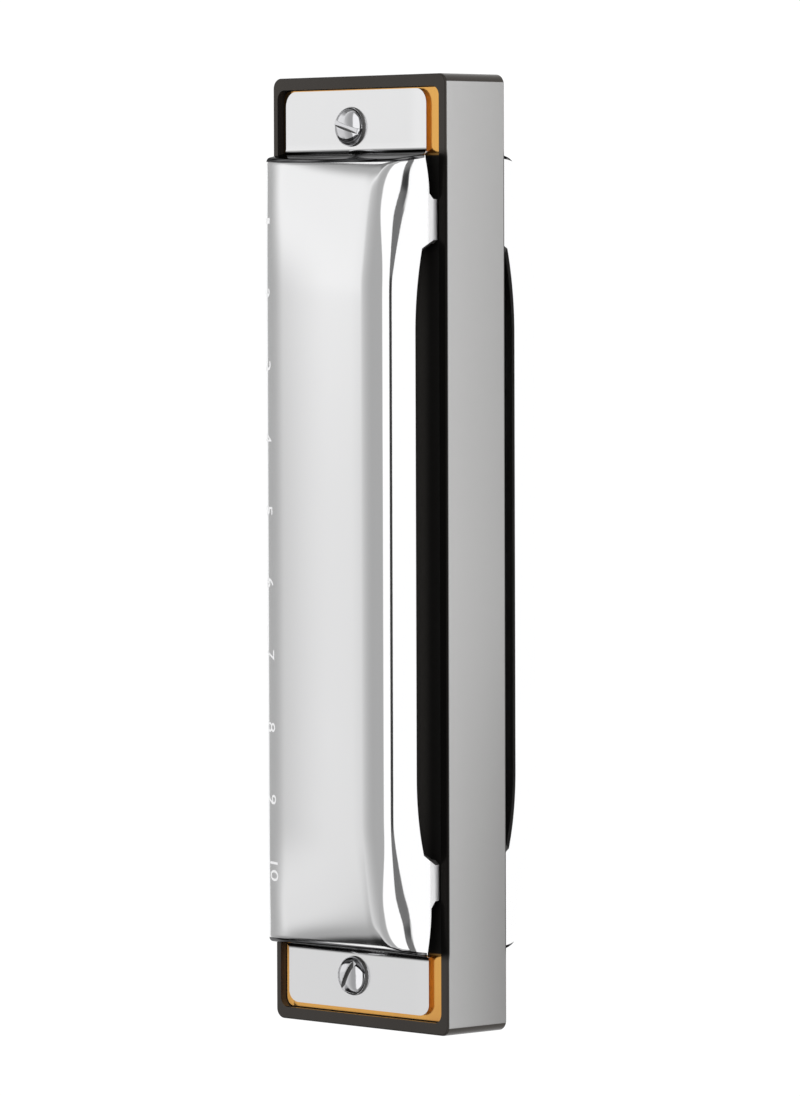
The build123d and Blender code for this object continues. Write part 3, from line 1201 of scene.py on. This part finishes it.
    def half_skin(self, inset: float) -> np.ndarray:
        """One skin of the half with positive X, from the middle to the end of the tab.

        Beyond the body, each row runs on as a rounded top edge, a straight end
        wall and a rounded fold, and then lies flat along the tab.

        Args:
            inset: How far this skin lies inside the outer one.

        Returns:
            Rows by columns by three coordinates.
        """
        distance = self.body_columns()
        profile = self.section(distance, inset)
        rows = len(profile)
        rim_profile = self.section(np.zeros(1), inset)[:, 0]
        tab_level = self.plate + self.sheet - inset

        # The lower a row lies, the further it runs out before the slanted end wall cuts it off.
        above = (rim_profile[:, 1] + self.rim - tab_level) / (rim_profile[:, 1].max() + self.rim - tab_level)
        flare = self.end_wall_run * (1.0 - np.clip(above, 0.0, 1.0))
        x = self.body_half - inset - distance + flare[:, None] * np.exp(-distance / self.flare_reach)
        body = np.stack([x, profile[..., 0], profile[..., 1] + self.rim], -1)

        # The corner points that the rounded edges of the end wall turn about.
        top_edge = np.stack(
            [self.body_half - inset + flare, rim_profile[:, 0], rim_profile[:, 1] + self.rim], -1
        )
        tab_front = self.front + self.tab_front_inset
        tab_rear = self.rear - self.tab_rear_inset
        share = (rim_profile[:, 0] - self.front - inset) / (self.rear - self.waist - self.front - 2 * inset)
        fold_y = tab_front + inset + share * (tab_rear - tab_front - 2 * inset)
        number = np.arange(rows)
        front_share = np.clip(number / self.first_top_row, 0, 1)
        rear_share = np.clip((rows - 1 - number) / (rows - 1 - self.last_top_row), 0, 1)
        fold_z = self.plate + (tab_level - self.plate) * np.minimum(front_share, rear_share)
        fold = np.stack([np.full(rows, self.fold - inset), fold_y, fold_z], -1)

        wall = fold - top_edge
        length = np.linalg.norm(wall, axis=-1, keepdims=True)
        turn = np.minimum(self.end_round / length, self.round_share)
        upper = top_edge + wall * turn
        lower = fold - wall * turn
        beyond = fold + np.array([self.end_round, 0.0, 0.0])
        edge = bezier([body[:, -1], top_edge, upper], np.linspace(0, 1, self.edge_points))[:, 1:]
        slope = bezier([upper, lower], np.linspace(0, 1, self.slope_points))[:, 1:]
        bend = bezier([lower, fold, beyond], np.linspace(0, 1, self.fold_points))[:, 1:]
        self.wall_column = body.shape[1] + edge.shape[1] // 3
        self.fold_column = body.shape[1] + edge.shape[1] + slope.shape[1]
        tab = self.tab_rows(beyond, inset)
        return np.concatenate([body, edge, slope, bend, tab], axis=1)

    def tab_rows(self, start: np.ndarray, inset: float) -> np.ndarray:
        """The flat tab's rows, squeezed together inside the circles of its rounded corners.

        Args:
            start: Where each row leaves the fold.
            inset: How far this skin lies inside the outer one; not used.

        Returns:
            Rows by columns by three coordinates.
        """
        tab_front = self.front + self.tab_front_inset
        tab_rear = self.rear - self.tab_rear_inset
        corner_start = self.tab_end - self.tab_corner
        flat = np.linspace(start[0, 0], corner_start, self.tab_points)[1:]
        turn = np.linspace(0, math.pi / 2, self.tab_points)[1:]
        x = np.concatenate([flat, corner_start + self.tab_corner * np.sin(turn)])
        nip = np.concatenate([np.zeros(len(flat)), self.tab_corner * (1 - np.cos(turn))])
        share = (start[:, 1] - tab_front) / (tab_rear - tab_front)
        y = tab_front + nip + share[:, None] * (tab_rear - tab_front - 2 * nip)
        z = np.broadcast_to(start[:, 2:], y.shape)
        return np.stack([np.broadcast_to(x, y.shape), y, z], -1)

    def with_feet(self, skin: np.ndarray, inset: float) -> np.ndarray:
        """Adds the rows of the feet below the rear wall: a quarter circle inwards, then a flat toe.

        Args:
            skin: The rows above.
            inset: How far this skin lies inside the outer one.

        Returns:
            The same columns with more rows.
        """
        angle = -np.linspace(0, math.pi / 2, self.foot_points)[1:, None]
        radius = self.foot_bend - inset
        x, y = skin[-1, :, 0], skin[-1, :, 1]
        middle = y + inset - self.foot_bend
        centre_z = self.plate + self.foot_bend
        turned_y = middle + radius * np.cos(angle)
        turned_z = centre_z + radius * np.sin(angle) + 0.0 * y
        toe = np.stack([x, middle - self.foot_toe, np.full_like(y, self.plate + inset)], -1)
        turned = np.stack([np.broadcast_to(x, turned_y.shape), turned_y, turned_z], -1)
        return np.concatenate([skin, turned, toe[None]])

    def skin(self, inset: float) -> np.ndarray:
        """One whole skin, with its two halves mirrored about the middle.

        Args:
            inset: How far this skin lies inside the outer one.

        Returns:
            Rows by columns by three coordinates.
        """
        half = self.with_feet(self.half_skin(inset), inset)
        other = half[:, :0:-1] * np.array([-1.0, 1.0, 1.0])
        return np.concatenate([other, half], axis=1)

    @staticmethod
    def from_middle(cells: int) -> np.ndarray:
        """The number of each of an even count of cells, counted from 0 at the middle."""
        number = np.arange(cells) - cells // 2
        return np.maximum(number, -number - 1)

    def kept_cells(self, outer: np.ndarray) -> np.ndarray:
        """Which cells of the grid are sheet.

        The walls end at the folds, and the rows of the feet are kept between
        the two sides of each foot only.

        Args:
            outer: The outer skin.

        Returns:
            One value for each cell.
        """
        rows, columns = outer.shape[:2]
        keep = np.ones((rows - 1, columns - 1), bool)
        past_fold = self.from_middle(columns - 1) >= self.fold_column - 1
        keep[: self.first_top_row, past_fold] = False
        keep[self.last_top_row :, past_fold] = False
        last_wall_row = rows - 1 - self.foot_points
        x = np.abs((outer[last_wall_row, 1:, 0] + outer[last_wall_row, :-1, 0]) / 2)
        keep[last_wall_row:, (x < self.foot_inner) | (x > self.foot_outer)] = False
        return keep

    def end_wall_cells(self, keep: np.ndarray) -> np.ndarray:
        """Which of the kept cells lie on an end wall.

        Args:
            keep: Which cells are sheet.

        Returns:
            One value for each kept cell, in the order of the faces.
        """
        number = self.from_middle(keep.shape[1])
        on_wall = (number >= self.wall_column - 1) & (number < self.fold_column + 2)
        row = np.arange(keep.shape[0])[:, None]
        across_top = (row >= self.first_top_row) & (row < self.last_top_row)
        return (across_top & on_wall)[keep]

    def set_high_foot_back(self, points: np.ndarray) -> None:
        """Moves the lower edge of the rear wall towards the middle at the high end.

        The opening is cut shorter there, and the foot is narrower and stands
        nearer the middle. Between those marks the shift is a straight line, and
        it fades out with the height above the rim.

        Args:
            points: All points of the cover, which are moved in place.
        """
        marks = [self.set_back_start, self.opening_half, self.foot_inner, self.foot_outer, self.body_half]
        foot = self.high_foot_back
        shifts = [0.0, self.high_opening_cut, foot, foot + self.high_foot_cut, 0.0]
        x, y, height = points[:, 0], points[:, 1], points[:, 2] - self.rim
        fade = (self.set_back_high - height) / (self.set_back_high - self.set_back_low)
        behind = y > (self.front + self.rear) / 2
        points[:, 0] -= np.interp(x, marks, shifts) * np.clip(fade, 0.0, 1.0) * behind

    def build(self, materials: list[bpy.types.Material]) -> bpy.types.Object:
        """Builds the cover, with one tab cut a hair shorter and the other a hair longer.

        Args:
            materials: Finishes of the outer skin, of the inner skin with the
                body's cut edges, of the end walls with their painted shade and of
                the tabs' cut edges with their painted highlight.

        Returns:
            The finished piece.
        """
        outer = self.skin(0.0)
        inner = self.skin(self.sheet)
        keep = self.kept_cells(outer)
        points, faces, finish = shell(outer, inner, keep)
        on_wall = self.end_wall_cells(keep)
        # The end walls take the third finish: painted shade with painted reflections.
        finish[: len(on_wall)][on_wall] = 2
        place = np.abs(points[faces, 0]).mean(1)
        cut = np.arange(len(faces)) >= 2 * len(on_wall)
        # Past the folds the cut edges take the fourth finish: a painted highlight.
        finish[cut & (place > self.fold)] = 3
        self.set_high_foot_back(points)
        for way, shift in ((1.0, self.high_tab_cut), (-1.0, self.low_tab_reach)):
            past = (way * points[:, 0] - self.screw_clear) / (self.tab_end - self.screw_clear)
            points[:, 0] -= shift * np.clip(past, 0.0, 1.0)
        if self.side is Side.BOTTOM:
            points = points * np.array([1.0, 1.0, -1.0])
            faces = faces[:, ::-1]
        name = f"{self.side.name.lower()}_cover"
        piece = make_piece(f"{name}_drawn_sheet", points, faces, materials, finish)
        round_edges(piece, self.edge_round, 3)
        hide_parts(name)
        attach(piece, "harp")
        return piece


@dataclass
class HoleNumbers:
    """The plain hole numbers etched along the top cover's front corner, one over each hole."""

    cover: Cover
    count: int = 10
    pitch: float = 7.8 * MM
    shift: float = -0.5 * MM
    height: float = 1.8 * MM
    digit_width: float = 1.05 * MM
    top_edge: float = -9.6 * MM
    slant: float = 0.02
    strip: float = 0.1 * MM
    lift: float = 0.012 * MM
    depth: float = 0.05 * MM
    one_width: float = 0.6
    curve_steps: int = 6
    merge: float = 1e-5
    shortest: float = 1e-9

    def outline(self, number: int) -> bmesh.types.BMesh:
        """One number as a flat mesh in the XY plane, with its digits' feet on Y = 0.

        Args:
            number: The number.

        Returns:
            The mesh, cut into narrow strips so that it can follow a curve.
        """
        curve = bpy.data.curves.new(f"number_{number}", "FONT")
        curve.body = str(number)
        curve.align_x = "CENTER"
        curve.resolution_u = self.curve_steps
        text = bpy.data.objects.new(curve.name, curve)
        mesh = text.to_mesh()
        work = bmesh.new()
        work.from_mesh(mesh)
        text.to_mesh_clear()
        bpy.data.objects.remove(text)
        bpy.data.curves.remove(curve)
        bmesh.ops.remove_doubles(work, verts=work.verts, dist=self.merge)
        points = np.array([vertex.co for vertex in work.verts])
        low, high = points.min(0), points.max(0)
        wide = self.digit_width * len(str(number)) * (1.0 if number > 1 else self.one_width)
        scale = Matrix.Diagonal((wide / (high[0] - low[0]), self.height / (high[1] - low[1]), 1.0, 1.0))
        centre = Matrix.Translation((-(low[0] + high[0]) / 2, -low[1], 0.0))
        work.transform(scale @ centre)
        for level in np.arange(self.strip, self.height, self.strip):
            parts = list(work.verts) + list(work.edges) + list(work.faces)
            bmesh.ops.bisect_plane(work, geom=parts, plane_co=(0.0, level, 0.0), plane_no=(0.0, 1.0, 0.0))
        return work

    def wrapped(self, flat: np.ndarray) -> np.ndarray:
        """Lays flat points on the cover: their height becomes a length along the cover's section.

        Args:
            flat: Points with X along the cover and Y up from a number's feet.

        Returns:
            The points on the outer skin, lifted by a hair.
        """
        section = self.cover.section(self.cover.body_half - np.abs(flat[:, 0]), 0.0)
        section = section[: self.cover.first_top_row + self.cover.top_points]
        step = np.linalg.norm(np.diff(section, axis=0), axis=-1)
        length = np.concatenate([np.zeros((1, len(flat))), np.cumsum(step, axis=0)])
        column = np.arange(len(flat))

        def share_at(values: np.ndarray, wanted: np.ndarray) -> Pair:
            """Finds wanted values in columns of rising values.

            Args:
                values: The rising values, rows by columns.
                wanted: The value wanted in each column.

            Returns:
                The row before it, and how far on towards the next row it lies.
            """
            row = np.clip((values <= wanted).sum(0) - 1, 0, len(values) - 2)
            low, high = values[row, column], values[row + 1, column]
            return row, (wanted - low) / np.maximum(high - low, self.shortest)

        row, share = share_at(section[..., 0], self.top_edge + self.slant * flat[:, 0])
        top = length[row, column] + share * step[row, column]
        row, share = share_at(length, top - (self.height - flat[:, 1]))
        here, onward = section[row, column], section[row + 1, column]
        place = here + (onward - here) * share[:, None]
        along = (onward - here) / np.linalg.norm(onward - here, axis=-1, keepdims=True)
        place = place + self.lift * np.stack([-along[:, 1], along[:, 0]], -1)
        return np.stack([flat[:, 0], place[:, 0], place[:, 1] + self.cover.rim], -1)

    def build(self, material: bpy.types.Material) -> bpy.types.Object:
        """Builds all the numbers as one piece.

        Args:
            material: Their finish.

        Returns:
            The finished piece.
        """
        mesh = bpy.data.meshes.new("hole_numbers")
        whole = bmesh.new()
        for number in range(1, self.count + 1):
            work = self.outline(number)
            middle = (number - (self.count + 1) / 2) * self.pitch + self.shift
            work.transform(Matrix.Translation((middle, 0.0, 0.0)))
            work.to_mesh(mesh)
            work.free()
            whole.from_mesh(mesh)
        whole.to_mesh(mesh)
        whole.free()
        flat = np.empty(len(mesh.vertices) * 3)
        mesh.vertices.foreach_get("co", flat)
        mesh.vertices.foreach_set("co", self.wrapped(flat.reshape(-1, 3)).ravel())
        mesh.update()
        mesh.materials.append(material)
        piece = bpy.data.objects.new("hole_numbers", mesh)
        bpy.context.scene.collection.objects.link(piece)
        wall = piece.modifiers.new("thickness", "SOLIDIFY")
        wall.thickness = self.depth
        wall.offset = -1.0
        LOG.info("hole_numbers: %d points", len(mesh.vertices))
        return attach(piece, "harp")


# ---------------------------------------------------------------------------
# Screws and nuts
# ---------------------------------------------------------------------------


def joined(*meshes: Pair) -> Pair:
    """Several meshes as one: the corner numbers of each go up by the points before it.

    Args:
        *meshes: Points and faces of each.

    Returns:
        Points and faces of the whole.
    """
    counts = np.cumsum([0] + [len(points) for points, _ in meshes])
    points = np.concatenate([points for points, _ in meshes])
    faces = np.concatenate([faces + start for (_, faces), start in zip(meshes, counts)])
    return points, faces


@dataclass
class CoverScrew:
    """A domed slotted screw through both covers, with its thread showing below the nut."""

    end: str
    slot_degrees: float
    head_radius: float = 2.13 * MM
    head_height: float = 1.2 * MM
    slot_width: float = 0.55 * MM
    slot_depth: float = 0.5 * MM
    radius: float = 1.05 * MM
    thread_pitch: float = 0.4 * MM
    thread_depth: float = 0.13 * MM
    edge: float = 0.06 * MM
    seam_share: float = 0.985
    dome_power: float = 2.6
    tip_depth: float = 1.4
    rim_lines: int = 26
    edge_lines: int = 5
    sweep_lines: int = 49
    shank_steps: int = 48
    rows_per_turn: int = 8

    def across(self) -> np.ndarray:
        """The grid's lines across the slot.

        From the rim they close in as a cosine, turn over the slot's rounded
        edge as a quarter circle, drop down its wall and cross its floor.

        Returns:
            For each line its place, how far it is sunk below the dome, and 1 on the floor.
        """
        half = self.slot_width / 2
        turn = np.linspace(0, math.pi / 2, self.edge_lines)[1:]
        sweep = np.linspace(math.pi, math.pi / 2, self.rim_lines)
        outer = (self.head_radius - half - self.edge) * np.cos(sweep) - half - self.edge
        edge = -half - self.edge * (1 - np.sin(turn))
        sunk = self.edge * (1 - np.cos(turn))
        floor = np.linspace(-half, half, self.edge_lines)
        place = np.concatenate([outer, edge, floor])
        depth = np.concatenate([0 * outer, sunk, 0 * floor])
        on_floor = np.concatenate([0 * outer, 0 * edge, 0 * floor + 1])
        count = len(outer) + len(edge)
        mirrored = np.stack([-place[:count], depth[:count], on_floor[:count]])[:, ::-1]
        return np.concatenate([np.stack([place, depth, on_floor]), mirrored], axis=1)

    def head(self) -> Pair:
        """The head on its seat at Z = 0.

        Its dome is a superellipse turned about the axis. Grid lines run along
        the slot from rim to rim, and their places follow a sine.

        Returns:
            Points and faces.
        """
        place, depth, on_floor = self.across()
        sweep = np.sin(np.linspace(-math.pi / 2, math.pi / 2, self.sweep_lines))
        x = np.broadcast_to(place, (len(sweep), len(place)))
        y = sweep[:, None] * np.sqrt(np.maximum(self.head_radius**2 - place**2, 0.0))
        share = np.clip(np.hypot(x, y) / self.head_radius, 0.0, 1.0)
        dome = self.head_height * np.sqrt(1 - share**self.dome_power)
        floor = np.minimum(dome, self.head_height - self.slot_depth)
        z = np.where(on_floor > 0, floor, np.maximum(dome - depth, 0.0))
        top = np.stack([x, y, z], -1)
        under = np.stack([x, y, 0 * z], -1)
        points, faces, _ = shell(top, under, np.ones((len(sweep) - 1, len(place) - 1), bool))
        return points, faces

    def shank(self, length: float) -> Pair:
        """The threaded shank below the head.

        Its radius falls by a triangle wave of height over pitch plus turn, and
        tapers over the last turn.

        Args:
            length: How far it reaches below the seat.

        Returns:
            Points and faces.
        """
        rows = int(length / self.thread_pitch * self.rows_per_turn)
        height = np.linspace(-length, 0.0, rows)[:, None]
        turn = np.linspace(0, 1, self.shank_steps + 1)[None, :]
        wave = np.abs(2 * ((height / self.thread_pitch + turn) % 1.0) - 1)
        tip = np.clip((height + length) / self.thread_pitch, 0.0, 1.0)
        radius = self.radius - self.thread_depth * (wave * tip + (1 - tip) * self.tip_depth)
        angle = 2 * math.pi * turn
        wall = np.stack([radius * np.cos(angle), radius * np.sin(angle), height + 0 * angle], -1)
        on_axis = np.array([0.0, 0.0, 1.0])
        grid = np.concatenate([wall[:1] * on_axis, wall, wall[-1:] * on_axis])
        keep = np.ones((len(grid) - 1, self.shank_steps), bool)
        return grid.reshape(-1, 3), grid_quads(keep)

    def build(self, material: bpy.types.Material, painted_shadow: bpy.types.Material) -> bpy.types.Object:
        """Builds the screw where the frame has it.

        Args:
            material: Its finish.
            painted_shadow: Finish of the slot's walls and of the seam round the head, a painted shadow
                there.

        Returns:
            The finished piece.
        """
        node = f"cover_screw_{self.end}_end"
        low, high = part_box(node)
        seat = high.z - self.head_height
        points, faces = joined(self.head(), self.shank(seat - low.z))
        angle = math.radians(self.slot_degrees) - math.pi / 2
        turn = np.array(Matrix.Rotation(angle, 3, "Z"))
        middle = np.array([(low.x + high.x) / 2, (low.y + high.y) / 2, seat])
        centre = points[faces].mean(axis=1)
        half = self.slot_width / 2
        # Painted shadow: the slot's walls and the seam round the head take a dark finish.
        slot_wall = np.abs(np.abs(centre[:, 0]) - half) < self.edge / 4
        seam = np.hypot(centre[:, 0], centre[:, 1]) > self.seam_share * self.head_radius
        dark = ((slot_wall | seam) & (centre[:, 2] >= 0.0)).astype(np.int32)
        piece = make_piece(f"{node}_turned", points @ turn.T + middle, faces, [material, painted_shadow], dark)
        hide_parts(node)
        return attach(piece, "harp")


@dataclass
class CoverNut:
    """A chamfered hexagon nut under the lower cover's tab."""

    end: str
    flats: float = 4.0 * MM
    bore: float = 1.06 * MM
    countersink: float = 0.2 * MM
    face_share: float = 0.94
    chamfer_degrees: float = 28.0
    sharp_degrees: float = 20.0
    steps: int = 120

    def build(self, material: bpy.types.Material) -> bpy.types.Object:
        """Builds the nut.

        Round the axis, the corner radius follows the hexagon, one over the
        cosine of the angle from the nearest flat, and the chamfer dips as it grows.

        Args:
            material: Its finish.

        Returns:
            The finished piece.
        """
        node = f"cover_nut_{self.end}_end"
        low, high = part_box(node)
        height = high.z - low.z
        angle = np.linspace(0, 2 * math.pi, self.steps + 1)
        from_flat = (angle + math.pi / 6) % (math.pi / 3) - math.pi / 6
        hexagon = self.flats / 2 / np.cos(from_flat)
        flat_face = self.face_share * self.flats / 2
        dip = (hexagon - flat_face) * math.tan(math.radians(self.chamfer_degrees))
        mouth = self.bore + self.countersink
        rings = [
            (self.bore, self.countersink),
            (self.bore, height - self.countersink),
            (mouth, height),
            (flat_face, height),
            (hexagon, height - dip),
            (hexagon, dip),
            (flat_face, 0.0),
            (mouth, 0.0),
            (self.bore, self.countersink),
        ]
        grid = round_grid(rings, self.steps)
        middle = np.array([(low.x + high.x) / 2, (low.y + high.y) / 2, low.z])
        faces = grid_quads(np.ones((len(rings) - 1, self.steps), bool))[:, ::-1]
        points = grid.reshape(-1, 3) + middle
        piece = make_piece(f"{node}_chamfered", points, faces, [material], None, self.sharp_degrees)
        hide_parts(node)
        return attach(piece, "harp")


# ---------------------------------------------------------------------------
# Studio
# ---------------------------------------------------------------------------


@dataclass(frozen=True)
class Surroundings:
    """What polished metal mirrors, by direction.

    Angles are in degrees round the length, from 0 at the back's horizon over 90
    overhead to 180 at the front's horizon. Turns are the X of the direction.
    Each span is where a part of the surroundings fades in.
    """

    greys: tuple[Span, ...] = (
        (0.0, 1.05),
        (4.5, 1.05),
        (6.0, 0.035),
        (27.0, 0.045),
        (40.0, 0.17),
        (80.0, 0.30),
        (94.0, 0.41),
        (112.0, 0.41),
        (118.0, 0.44),
        (124.0, 0.50),
        (130.0, 0.59),
        (136.5, 0.71),
        (150.0, 0.74),
        (156.5, 0.76),
        (160.0, 0.84),
        (162.0, 0.77),
        (163.5, 0.66),
        (166.0, 0.52),
        (170.0, 0.41),
        (180.0, 0.38),
    )
    half_turn: float = 180.0
    horizon: float = 0.02
    panel_width: Span = (3.0, 2.0)
    panel_back: Span = (26.0, 29.0)
    panel_front: Span = (94.0, 86.0)
    panel_grey: float = 1.08
    low_back: Span = (27.0, 24.0)
    low_front: Span = (0.5, 1.5)
    low_turn: Span = (0.08, 0.25)
    low_grey: float = 0.17
    bright_turn: Span = (0.035, -0.02)
    bright_back: Span = (130.0, 136.0)
    bright_front: Span = (172.0, 160.0)
    bright_share: float = 0.2
    bright_grey: float = 1.5
    front: Span = (136.0, 140.0)
    high_shade: Span = (0.26, 0.45)
    low_shade: Span = (-0.34, -0.52)
    shade_share: float = 0.75
    shade_grey: float = 0.25
    high_flag: Span = (0.48, 0.58)
    low_flag: Span = (-0.55, -0.65)
    low_flag_share: float = 0.5
    flag_grey: float = 0.015

    def colour(self, tree: Tree) -> Wire:
        """Writes the mirrored surroundings into a world's tree.

        A long pale panel hangs overhead and leans to the back. Paler walls
        stand in front low down, a little brighter towards the low end. Beyond
        both ends the front wall is shaded and then hidden by a black flag.

        Args:
            tree: The world's tree.

        Returns:
            The colour that comes from each direction.
        """
        direction = tree.add("ShaderNodeTexCoord", None, None, "Generated")
        x, y, z = (tree.axis(direction, name) for name in "XYZ")
        angle = tree.arc_tangent(z, y)
        stops = [(degrees / self.half_turn, opaque(grey, grey, grey)) for degrees, grey in self.greys]
        walls = tree.add("ShaderNodeValToRGB", {"stops": stops}, {0: angle / self.half_turn})
        bright = x.ramp(*self.bright_turn) * angle.ramp(*self.bright_back) * angle.ramp(*self.bright_front)
        low = angle.ramp(*self.low_back) * angle.ramp(*self.low_front) * abs(x).ramp(*self.low_turn)
        front = angle.ramp(*self.front)
        shade = x.ramp(*self.high_shade).at_least(x.ramp(*self.low_shade)) * front * self.shade_share
        flag = x.ramp(*self.high_flag).at_least(x.ramp(*self.low_flag) * self.low_flag_share) * front
        width = abs(x) / z.at_least(self.horizon)
        panel = width.ramp(*self.panel_width) * angle.ramp(*self.panel_back) * angle.ramp(*self.panel_front)
        layers = (
            (bright * self.bright_share, self.bright_grey),
            (low, self.low_grey),
            (shade, self.shade_grey),
            (flag, self.flag_grey),
            (panel, self.panel_grey),
        )
        for share, grey in layers:
            walls = tree.mix(share, walls, opaque(grey, grey, grey))
        return walls


@dataclass
class Studio:
    """A pale floor, an even soft light and the camera. A lamp is its name, its place and its watts."""

    azimuth: float = -3.139
    elevation: float = 43.508
    roll: float = -0.181
    distance: float = 725.6 * MM
    aim_right: float = 1.166 * MM
    aim_up: float = 0.385 * MM
    lens: float = 221.55
    sensor: float = 36.0
    clip: Span = (0.01, 20.0)
    world_grey: float = 0.62
    lamps: tuple[tuple[str, Triple, float], ...] = (
        ("key_lamp", (-0.35, 0.5, 0.85), 6.0),
        ("fill_lamp", (-0.3, -0.7, 0.6), 3.0),
    )
    lamp_side: float = 0.7
    floor_half: float = 3.0
    floor_colour: Colour = opaque(0.86, 0.86, 0.86)
    floor_glow: float = 1.06
    front_floor: Span = (0.0, -30.0 * MM)
    front_dark: float = 0.6
    mirrored_glow: float = 1.04

    def place_camera(self) -> None:
        """Stands the camera behind and above the harmonica, with the low end at the top of the picture."""
        azimuth, elevation = math.radians(self.azimuth), math.radians(self.elevation)
        level = math.cos(elevation)
        back = Vector((math.sin(azimuth) * level, math.cos(azimuth) * level, math.sin(elevation)))
        right = Vector((-1.0, 0.0, 0.0)).cross(back).normalized()
        up = back.cross(right)
        roll = math.radians(self.roll)
        right, up = (
            right * math.cos(roll) + up * math.sin(roll),
            up * math.cos(roll) - right * math.sin(roll),
        )
        place = back * self.distance + right * self.aim_right + up * self.aim_up
        data = bpy.data.cameras.new("camera")
        data.sensor_fit = "VERTICAL"
        data.sensor_height = self.sensor
        data.lens = self.lens
        data.clip_start, data.clip_end = self.clip
        camera = bpy.data.objects.new("camera", data)
        turn = Matrix((right, up, back)).transposed().to_4x4()
        camera.matrix_world = Matrix.Translation(place) @ turn
        bpy.context.scene.collection.objects.link(camera)
        bpy.context.scene.camera = camera

    def light_world(self) -> None:
        """Surrounds the object with soft even light on white, and gives metal a studio to mirror."""
        world = bpy.data.worlds.new("studio")
        bpy.context.scene.world = world
        tree = Tree(world)
        mirrored = Surroundings().colour(tree)
        even = opaque(self.world_grey, self.world_grey, self.world_grey)
        colour = tree.mix(tree.ray("Is Glossy Ray"), even, mirrored)
        colour = tree.mix(tree.ray("Is Camera Ray"), colour, opaque(1.0, 1.0, 1.0))
        background = tree.add("ShaderNodeBackground", None, {"Color": colour, "Strength": 1.0})
        tree.add_output("ShaderNodeOutputWorld", background)

    def hang_lamps(self) -> None:
        """Hangs the two square soft lamps, which look at the origin and aren't mirrored."""
        for name, place, power in self.lamps:
            data = bpy.data.lights.new(name, "AREA")
            data.energy = power
            data.size = self.lamp_side
            lamp = bpy.data.objects.new(name, data)
            turn = Vector(place).to_track_quat("Z", "Y").to_matrix().to_4x4()
            lamp.matrix_world = Matrix.Translation(place) @ turn
            lamp.visible_glossy = False
            bpy.context.scene.collection.objects.link(lamp)

    def lay_floor(self, height: float) -> None:
        """Lays a large pale floor under the object.

        It is white to the camera and to mirrored rays, less so before the object, where
        mirrored rays see painted shade, and matt to all others.

        Args:
            height: Where it lies.
        """
        half = self.floor_half
        corners = [(half * x, half * y, height) for x, y in ((-1, -1), (1, -1), (1, 1), (-1, 1))]
        mesh = bpy.data.meshes.new("floor")
        mesh.from_pydata(corners, [], [(0, 1, 2, 3)])
        floor = bpy.data.objects.new("floor", mesh)
        material = bpy.data.materials.new("pale_floor")
        tree = Tree(material)
        seen = tree.ray("Is Camera Ray")
        mirrored = tree.ray("Is Glossy Ray").at_least(tree.ray("Is Transmission Ray"))
        # Painted shade: mirrored rays see the floor darker before the object.
        front = tree.axis(tree.here(), "Y").ramp(*self.front_floor)
        glow = seen + mirrored * (1.0 - front * self.front_dark) * self.mirrored_glow
        matt = tree.add("ShaderNodeBsdfDiffuse", None, {"Color": self.floor_colour})
        inputs = {"Color": opaque(1.0, 1.0, 1.0), "Strength": self.floor_glow}
        light = tree.add("ShaderNodeEmission", None, inputs)
        tree.add_output("ShaderNodeOutputMaterial", tree.blend(glow.at_most(1.0), matt, light))
        mesh.materials.append(material)
        bpy.context.scene.collection.objects.link(floor)
        floor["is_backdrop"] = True


# ---------------------------------------------------------------------------
# The whole harmonica
# ---------------------------------------------------------------------------


@dataclass
class Harmonica:
    """The whole instrument: finishes for the CAD nodes, and the pieces that stand for some of them.

    A cover screw is its end and the angle of its slot in degrees.
    """

    nodes: dict[str, bpy.types.Object]
    holes: int = 10
    screws: tuple[tuple[str, float], ...] = (("low", 73.0), ("high", 150.0))

    def dress(self, node: str, material: bpy.types.Material) -> None:
        """Gives a CAD node its finish.

        Args:
            node: The node's name.
            material: Its finish.
        """
        piece = self.nodes[node]
        piece.data.materials.clear()
        piece.data.materials.append(material)
        LOG.info("%s: %s", node, material.name)

    def build(self) -> None:
        """Dresses and builds every piece."""
        plastic = MouldedPlastic().material()
        plate = PlateBrass().material()
        reed = ReedBrass().material()
        rivet = RivetBrass().material()
        steel = PlateScrewSteel().material()
        bright = PolishedSteel().material()
        dull = DullSheet().material()
        # The end walls' finish is painted shade and the tabs' cut edges' finish a painted highlight.
        sheet = [PlatedSheet().material(), dull, SmuttedSheet().material(), CutEdge().material()]
        self.dress("comb", plastic)
        for level in ("upper", "lower"):
            self.dress(f"{level}_reed_plate", plate)
            self.dress(f"{level}_plate_screws", steel)
        for kind in ("blow", "draw"):
            self.dress(f"{kind}_reed_pads", reed)
            self.dress(f"{kind}_reed_rivets", rivet)
            for number in range(1, self.holes + 1):
                self.dress(f"{kind}_reed_{number:02d}", reed)
        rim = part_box("comb")[1].z
        plate_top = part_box("upper_reed_plate")[1].z
        cover_low, cover_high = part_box("top_cover")
        for side in Side:
            cover = Cover(side, rim, plate_top, cover_high.x, cover_low.y, cover_high.y)
            cover.build(sheet)
            if side is Side.TOP:
                HoleNumbers(cover, self.holes).build(Etching().material())
        for end, degrees in self.screws:
            CoverScrew(end, degrees).build(bright, dull)
            CoverNut(end).build(bright)


def main() -> list[list[float]]:
    """Builds the scene.

    Returns:
        The lowest and the highest corner of the CAD model.
    """
    logging.basicConfig(level=logging.INFO, format="%(name)s: %(message)s")
    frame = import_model()
    cad_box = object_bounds()
    studio = Studio()
    studio.place_camera()
    studio.light_world()
    studio.hang_lamps()
    studio.lay_floor(cad_box[0].z)
    Harmonica(frame["nodes"]).build()
    bpy.context.scene.view_settings.view_transform = "Standard"
    return [list(corner) for corner in cad_box]


if __name__ == "__main__":
    sizes = {"cad": main(), "visual": [list(corner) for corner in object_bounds()]}
